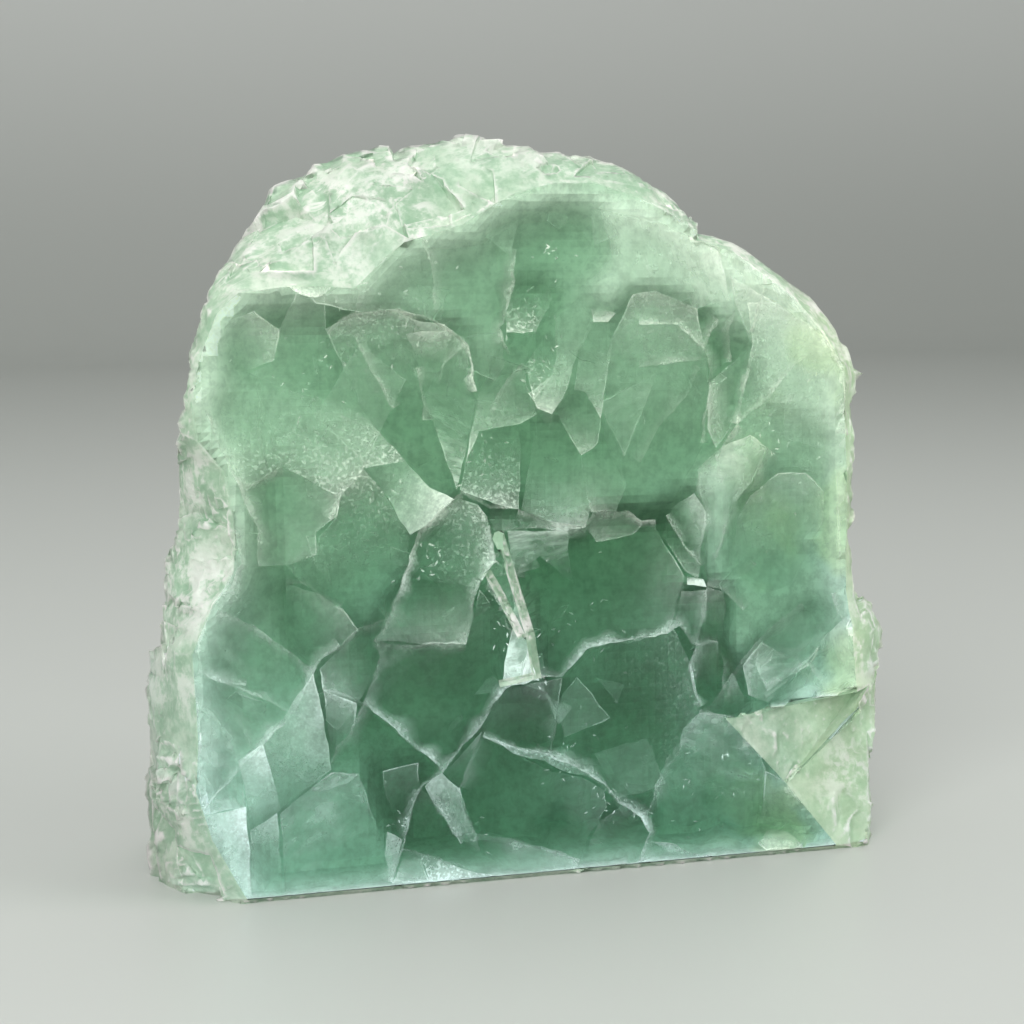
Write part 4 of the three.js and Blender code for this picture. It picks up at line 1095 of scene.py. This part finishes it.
def loose_cleavages(sheets, inside):
    """Small cleavages that lie about the stone along its own directions."""
    draw = random.Random(LOOSE_SEED)
    directions = cleavage_directions()
    low, high = CAD_BOX
    made = 0
    for _ in range(LOOSE_MANY * LOOSE_TRIES):
        if made == LOOSE_MANY:
            break
        middle = Vector(draw.uniform(low[k], high[k]) for k in range(3))
        size = draw.uniform(*LOOSE_SIZE)
        if made % 3:
            middle = under_face(middle.x / MM, middle.z / MM, draw.uniform(*LOOSE_SHALLOW))
            size *= LOOSE_SMALLER
        lean = Vector(draw.gauss(0, LOOSE_LEAN) for _ in range(3))
        across = (draw.choice(directions) + lean).normalized()
        first = across.orthogonal().normalized()
        second = across.cross(first)
        start = draw.uniform(0, math.tau)
        corners = []
        count = draw.choice(LOOSE_SIDES)
        for k in range(count):
            angle = start + math.tau * (k + draw.uniform(-LOOSE_UNEVEN, LOOSE_UNEVEN)) / count
            reach = size * draw.uniform(0.55, 1.0)
            corners.append(Vector((math.cos(angle), math.sin(angle))) * reach)
        milk = draw.uniform(*LOOSE_MILK)
        flat, triangles, edge = veil_points(corners, made * 2.3)
        front = [middle + (first * p.x + second * p.y) * MM for p in flat]
        if not LOOSE_MARGIN < inside.depth(middle) < LOOSE_DEEPEST:
            continue
        if min(inside.depth(p) for p in front) < LOOSE_MARGIN:
            continue
        dim_edge = [LOOSE_GLINT * e * glinting(q) for e, q in zip(edge, front)]
        speckle, streak = (float(draw.random() < LOOSE_LOOKS) for _ in range(2))
        held = kept_inside(inside, front, triangles)
        sheets.add(front, held, patchy(milk, front), dim_edge, speckle, streak)
        made += 1


def sparkles(sheets, inside):
    """Small bright breaks that catch the light."""
    draw = random.Random(SPARKLE_SEED)
    for x, z, reach, count, bright in SPARKLES:
        for _ in range(count):
            px, pz = draw.gauss(x, reach), draw.gauss(z, reach)
            size, turn = draw.uniform(*SPARKLE_SIZE), draw.uniform(0, math.tau)
            depth = draw.uniform(*SPARKLE_DEEP)
            if inside.depth(under_face(px, pz, depth)) < SPARKLE_MARGIN:
                continue
            corners = []
            for k in range(4):
                angle = turn + math.tau * k / 4
                reach_out = size * (SPARKLE_LONG if k % 2 else SPARKLE_WIDE)
                qx, qz = px + reach_out * math.cos(angle), pz + reach_out * math.sin(angle)
                corners.append(under_face(qx, qz, depth))
            shine = bright * draw.uniform(SPARKLE_DIM, 1)
            sheets.add(corners, [(0, 1, 2), (0, 2, 3)], [0.0] * 4, [shine] * 4)


def make_veils(stone):
    inside = Inside(stone)
    sheets = Sheets()
    milk_body(sheets, inside)
    loose_cleavages(sheets, inside)
    grain_veils(sheets, inside)
    crack_lines(sheets, inside)
    sparkles(sheets, inside)
    veils = sheets.mesh_object("veils")
    in_edit(veils)
    bpy.ops.mesh.select_all(action="SELECT")
    bpy.ops.mesh.normals_make_consistent(inside=False)
    out_of_edit()
    return veils


# ---- Finishes ----

class Tree:
    """A node tree that is built line by line."""

    def __init__(self, tree):
        self.tree = tree
        tree.nodes.clear()

    def add(self, kind, values=None, **settings):
        node = self.tree.nodes.new(kind)
        for name, value in settings.items():
            setattr(node, name, value)
        for name, value in (values or {}).items():
            self.feed(node.inputs[name], value)
        return node

    def feed(self, socket, value):
        if isinstance(value, bpy.types.NodeSocket):
            self.tree.links.new(value, socket)
        elif isinstance(value, bpy.types.Node):
            self.tree.links.new(value.outputs[0], socket)
        else:
            socket.default_value = value

    def math(self, operation, a, b=0.0, clamp=False):
        return self.add("ShaderNodeMath", {0: a, 1: b}, operation=operation, use_clamp=clamp)

    def scaled(self, value, low, high, to_low=0.0, to_high=1.0):
        settings = {"Value": value, "From Min": low, "From Max": high, "To Min": to_low, "To Max": to_high}
        return self.add("ShaderNodeMapRange", settings, interpolation_type="SMOOTHSTEP")

    def blend(self, share, a, b):
        return self.add("ShaderNodeMix", {0: share, 6: a, 7: b}, data_type="RGBA").outputs[2]

    def between(self, share, a, b):
        return self.add("ShaderNodeMix", {0: share, 2: a, 3: b}, data_type="FLOAT").outputs[0]

    def number(self, name):
        return self.add("ShaderNodeAttribute", attribute_name=name).outputs["Fac"]

    def place(self):
        return self.add("ShaderNodeTexCoord").outputs["Object"]

    def drawn_out(self, place, times):
        """The place turned and squeezed, for a pattern of splinters that many times as long as wide."""
        values = {"Vector": place, "Rotation": (0.4, 0.9, 0.5), "Scale": (1.0, times, 1.0)}
        return self.add("ShaderNodeMapping", values)

    def noise(self, place, scale, detail=3.0, rough=0.55, twist=0.0):
        values = {"Vector": place, "Scale": scale, "Detail": detail, "Roughness": rough, "Distortion": twist}
        return self.add("ShaderNodeTexNoise", values).outputs[0]


def new_material(name):
    material = bpy.data.materials.new(name)
    material.use_nodes = True
    return material, Tree(material.node_tree)


def milk_group():
    """Patchy milk at two scales, a broad and a fine: a value that changes over the stone."""
    group = bpy.data.node_groups.new("patchy milk", "ShaderNodeTree")
    group.interface.new_socket("Place", in_out="INPUT", socket_type="NodeSocketVector")
    group.interface.new_socket("Scale", in_out="INPUT", socket_type="NodeSocketFloat")
    group.interface.new_socket("Milk", in_out="OUTPUT", socket_type="NodeSocketFloat")
    tree = Tree(group)
    taken = tree.add("NodeGroupInput")
    place, scale = taken.outputs["Place"], taken.outputs["Scale"]
    broad = tree.noise(place, scale, 4.0, 0.6, 0.4)
    fine = tree.noise(place, tree.math("MULTIPLY", scale, 6.3), 3.0, 0.65)
    mixed = tree.math("ADD", tree.math("MULTIPLY", broad, 0.72), tree.math("MULTIPLY", fine, 0.28))
    out = tree.add("NodeGroupOutput")
    tree.feed(out.inputs["Milk"], tree.scaled(mixed, 0.34, 0.66))
    return group


def add_milk(tree, group, place, scale):
    node = tree.add("ShaderNodeGroup", node_tree=group)
    tree.feed(node.inputs["Place"], place)
    node.inputs["Scale"].default_value = scale
    return node.outputs["Milk"]


def lets_lamps_in(tree, surface, tint, one_sided=False):
    """The surface, which lets the lamps' light pass, so that what is inside is lit."""
    through = tree.add("ShaderNodeBsdfTransparent", {"Color": tint})
    passing = tree.add("ShaderNodeLightPath").outputs["Is Shadow Ray"]
    if one_sided:
        behind = tree.add("ShaderNodeNewGeometry").outputs["Backfacing"]
        passing = tree.math("MAXIMUM", passing, behind)
    return tree.add("ShaderNodeMixShader", {0: passing, 1: surface, 2: through})


def milk_colour(tree, place):
    """Warm milk at the top of the stone, cooler towards its foot, with yellow-green blotches at its right."""
    parted = tree.add("ShaderNodeSeparateXYZ", {"Vector": place})
    right, height = parted.outputs["X"], parted.outputs["Z"]
    sway = tree.math("MULTIPLY", tree.noise(place, 45.0, 2.0), 0.05)
    cool = tree.scaled(tree.math("ADD", height, sway), 0.105, 0.035)
    milk = tree.blend(cool, (0.97, 0.95, 0.87, 1), (0.87, 0.94, 0.99, 1))
    blotch = tree.scaled(tree.noise(place, 62.0, 2.0), 0.46, 0.60)
    blotch = tree.math("MULTIPLY", blotch, tree.scaled(right, 0.026, 0.046, 0.0, 0.7))
    milk = tree.blend(blotch, milk, (0.96, 0.97, 0.76, 1))
    grainy = tree.noise(place, 520.0, 4.0, 0.75)
    return tree.blend(tree.scaled(grainy, 0.34, 0.62), tree.blend(0.24, milk, (0, 0, 0, 1)), milk)


def skin_material(milk):
    """Clear green fluorite: polished where it was sawn, frosted where it broke, with a highlight painted
    white along the crests of the breaks.
    """
    material, tree = new_material("fluorite")
    place = tree.place()
    broken, crest, pale = (tree.number(name) for name in ("broken", "crest", "pale"))
    patches = add_milk(tree, milk, place, 150.0)
    sugar = tree.noise(place, 1100.0, 4.0, 0.7)
    # Painted highlight: the crests of the broken skin, broken up by the sugar grain, turn white in the
    # colour.
    crest_highlight = tree.scaled(tree.math("ADD", crest, tree.math("MULTIPLY", sugar, 0.9)), 0.50, 1.35)
    misted = tree.scaled(tree.math("ADD", patches, tree.math("MULTIPLY", sugar, 0.6)), 0.65, 1.20)
    splintered = tree.scaled(tree.noise(tree.drawn_out(place, 7.0), 150.0, 4.0, 0.62, 0.8), 0.56, 0.66)
    marked = tree.math("MAXIMUM", misted, splintered)
    # The skin's own pale patches, together with the painted crest highlight.
    pale_and_highlit = tree.math("MAXIMUM", crest_highlight, tree.math("MULTIPLY", pale, marked))
    right = tree.scaled(tree.add("ShaderNodeSeparateXYZ", {"Vector": place}).outputs["X"], 0.036, 0.056)
    frost = tree.blend(patches, (0.30, 0.46, 0.32, 1), (0.62, 0.72, 0.59, 1))
    frost = tree.blend(tree.math("MULTIPLY", right, 0.4), frost, (0.60, 0.72, 0.44, 1))
    # The frosted colour turns white where the skin is pale and where the crest highlight is painted.
    frost = tree.blend(pale_and_highlit, frost, (0.93, 0.885, 0.87, 1))
    bump = tree.add("ShaderNodeBump", {"Strength": 0.5, "Distance": 0.0003, "Height": sugar})
    polished = tree.add("ShaderNodeBsdfPrincipled", {
        "Base Color": (0.97, 1.0, 0.98, 1), "Roughness": 0.0, "IOR": IOR, "Transmission Weight": 1.0,
    })
    frosted = tree.add("ShaderNodeBsdfPrincipled", {
        "Base Color": frost, "Roughness": 0.28, "IOR": IOR, "Transmission Weight": 0.40, "Normal": bump,
    })
    skin = tree.add("ShaderNodeMixShader", {0: broken, 1: polished, 2: frosted})
    green = tree.add("ShaderNodeVolumeAbsorption", {"Color": (0.16, 0.47, 0.285, 1), "Density": 100.0})
    surface = lets_lamps_in(tree, skin, (0.82, 0.92, 0.86, 1))
    tree.add("ShaderNodeOutputMaterial", {"Surface": surface, "Volume": green})
    return material


def veil_material():
    """A healed crack: pale, milky in patches, bright along its edge."""
    material, tree = new_material("cleavage_veil")
    place = tree.place()
    milky, edge, speckle, streak = (tree.number(name) for name in ("milk", "edge", "speckle", "streak"))
    fine = tree.noise(place, 1700.0, 4.0, 0.7)
    dots = tree.scaled(fine, 0.48, 0.68, 0.5, 2.6)
    lines = tree.scaled(tree.noise(tree.drawn_out(place, 9.0), 170.0, 4.0, 0.65), 0.38, 0.70, 0.45, 1.8)
    plain = tree.scaled(fine, 0.3, 0.7, 0.7, 1.3)
    hazy = tree.between(speckle, plain, dots)
    lined = tree.between(streak, hazy, lines)
    line = tree.math("MULTIPLY", tree.math("POWER", edge, 1.4), tree.scaled(fine, 0.34, 0.60, 0.35, 0.95))
    alpha = tree.math("ADD", tree.math("MULTIPLY", milky, lined), line, True)
    alpha = tree.math("MINIMUM", tree.math("MULTIPLY", alpha, 1.4), 0.97)
    veil = tree.add("ShaderNodeBsdfPrincipled", {
        "Base Color": milk_colour(tree, place), "Roughness": 0.45, "Alpha": alpha, "Specular IOR Level": 0.3,
    })
    surface = lets_lamps_in(tree, veil, (1, 1, 1, 1), one_sided=True)
    tree.add("ShaderNodeOutputMaterial", {"Surface": surface})
    return material


def cloud_material():
    """Soft milk deep in the stone."""
    material, tree = new_material("milk_cloud")
    place = tree.place()
    cloud = tree.add("ShaderNodeBsdfPrincipled", {
        "Base Color": milk_colour(tree, place), "Roughness": 0.8, "Specular IOR Level": 0.0,
    })
    tree.add("ShaderNodeOutputMaterial", {"Surface": cloud})
    return material


# ---- The table, the light and the camera ----

def table_material():
    """A plain pale sheet that grows paler where it rises behind the stone."""
    material, tree = new_material("pale_table")
    height = tree.add("ShaderNodeSeparateXYZ", {"Vector": tree.place()}).outputs["Z"]
    colour = tree.blend(tree.scaled(height, 0.0, 0.5), (0.52, 0.535, 0.51, 1), (0.86, 0.87, 0.85, 1))
    skin = tree.add("ShaderNodeBsdfPrincipled", {"Base Color": colour, "Roughness": 0.38})
    tree.add("ShaderNodeOutputMaterial", {"Surface": skin})
    return material


def lay_floor():
    bpy.ops.object.select_all(action="DESELECT")
    bpy.ops.mesh.primitive_plane_add(size=TABLE_SIZE, location=(0, TABLE_BACK, 0))
    floor = bpy.context.object
    floor.name = "floor"
    in_edit(floor, "EDGE")
    bm = bmesh.from_edit_mesh(floor.data)
    for edge in bm.edges:
        edge.select_set(all(v.co.y > BACK_EDGE for v in edge.verts))
    bmesh.update_edit_mesh(floor.data)
    bpy.ops.mesh.extrude_region_move(TRANSFORM_OT_translate={"value": (0, 0, WALL_HEIGHT)})
    bm = bmesh.from_edit_mesh(floor.data)
    for edge in bm.edges:
        edge.select_set(all(v.co.y > BACK_EDGE and v.co.z < COVE for v in edge.verts))
    bmesh.update_edit_mesh(floor.data)
    bpy.ops.mesh.bevel(offset=COVE, segments=COVE_STEPS)
    out_of_edit()
    bpy.ops.object.transform_apply(location=True)
    bpy.ops.object.shade_smooth()
    floor.data.materials.append(table_material())


def add_light(name, place, target, size, power, colour=(1, 1, 1)):
    bpy.ops.object.light_add(type="AREA", location=place)
    light = bpy.context.object
    light.name = name
    light.data.shape = "RECTANGLE"
    light.data.size, light.data.size_y = size
    light.data.energy = power
    light.data.color = colour
    light.rotation_euler = (Vector(target) - Vector(place)).to_track_quat("-Z", "Y").to_euler()


def light_the_stone():
    middle = (0, 0, 0.06)
    add_light("key softbox", (-0.45, -0.75, 0.55), middle, (0.7, 0.7), 9)
    add_light("right softbox", (0.75, -0.35, 0.45), middle, (0.5, 0.6), 3.5)
    add_light("top softbox", (0.0, 0.15, 0.9), middle, (0.9, 0.6), 2.5)
    world = bpy.data.worlds.new("studio")
    bpy.context.scene.world = world
    world.use_nodes = True
    world.node_tree.nodes["Background"].inputs["Color"].default_value = (0.80, 0.83, 0.80, 1)
    world.node_tree.nodes["Background"].inputs["Strength"].default_value = 0.50


def place_camera():
    turn = (math.radians(90 - CAMERA_DOWN), 0, -math.radians(CAMERA_TURN))
    bpy.ops.object.camera_add(location=CAMERA_AT, rotation=turn)
    camera = bpy.context.object
    camera.data.lens = LENS
    camera.data.clip_start, camera.data.clip_end = 0.01, 20
    bpy.context.scene.camera = camera


def main():
    stone = make_stone()
    veils = make_veils(stone)
    finishes = (skin_material(milk_group()), veil_material(), cloud_material())
    for finish in finishes:
        stone.data.materials.append(finish)
        veils.data.materials.append(finish)
    only(stone, veils)
    bpy.ops.object.join()
    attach(stone, "root")
    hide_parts("fluorite")
    place_camera()
    light_the_stone()
    lay_floor()
    scene = bpy.context.scene
    scene.view_settings.view_transform = "Standard"
    scene.cycles.use_light_tree = False
    scene.cycles.transparent_max_bounces = 20
    scene.cycles.max_bounces = 5
    scene.cycles.transmission_bounces = 5
    scene.cycles.diffuse_bounces = 2
    scene.cycles.glossy_bounces = 3


main()
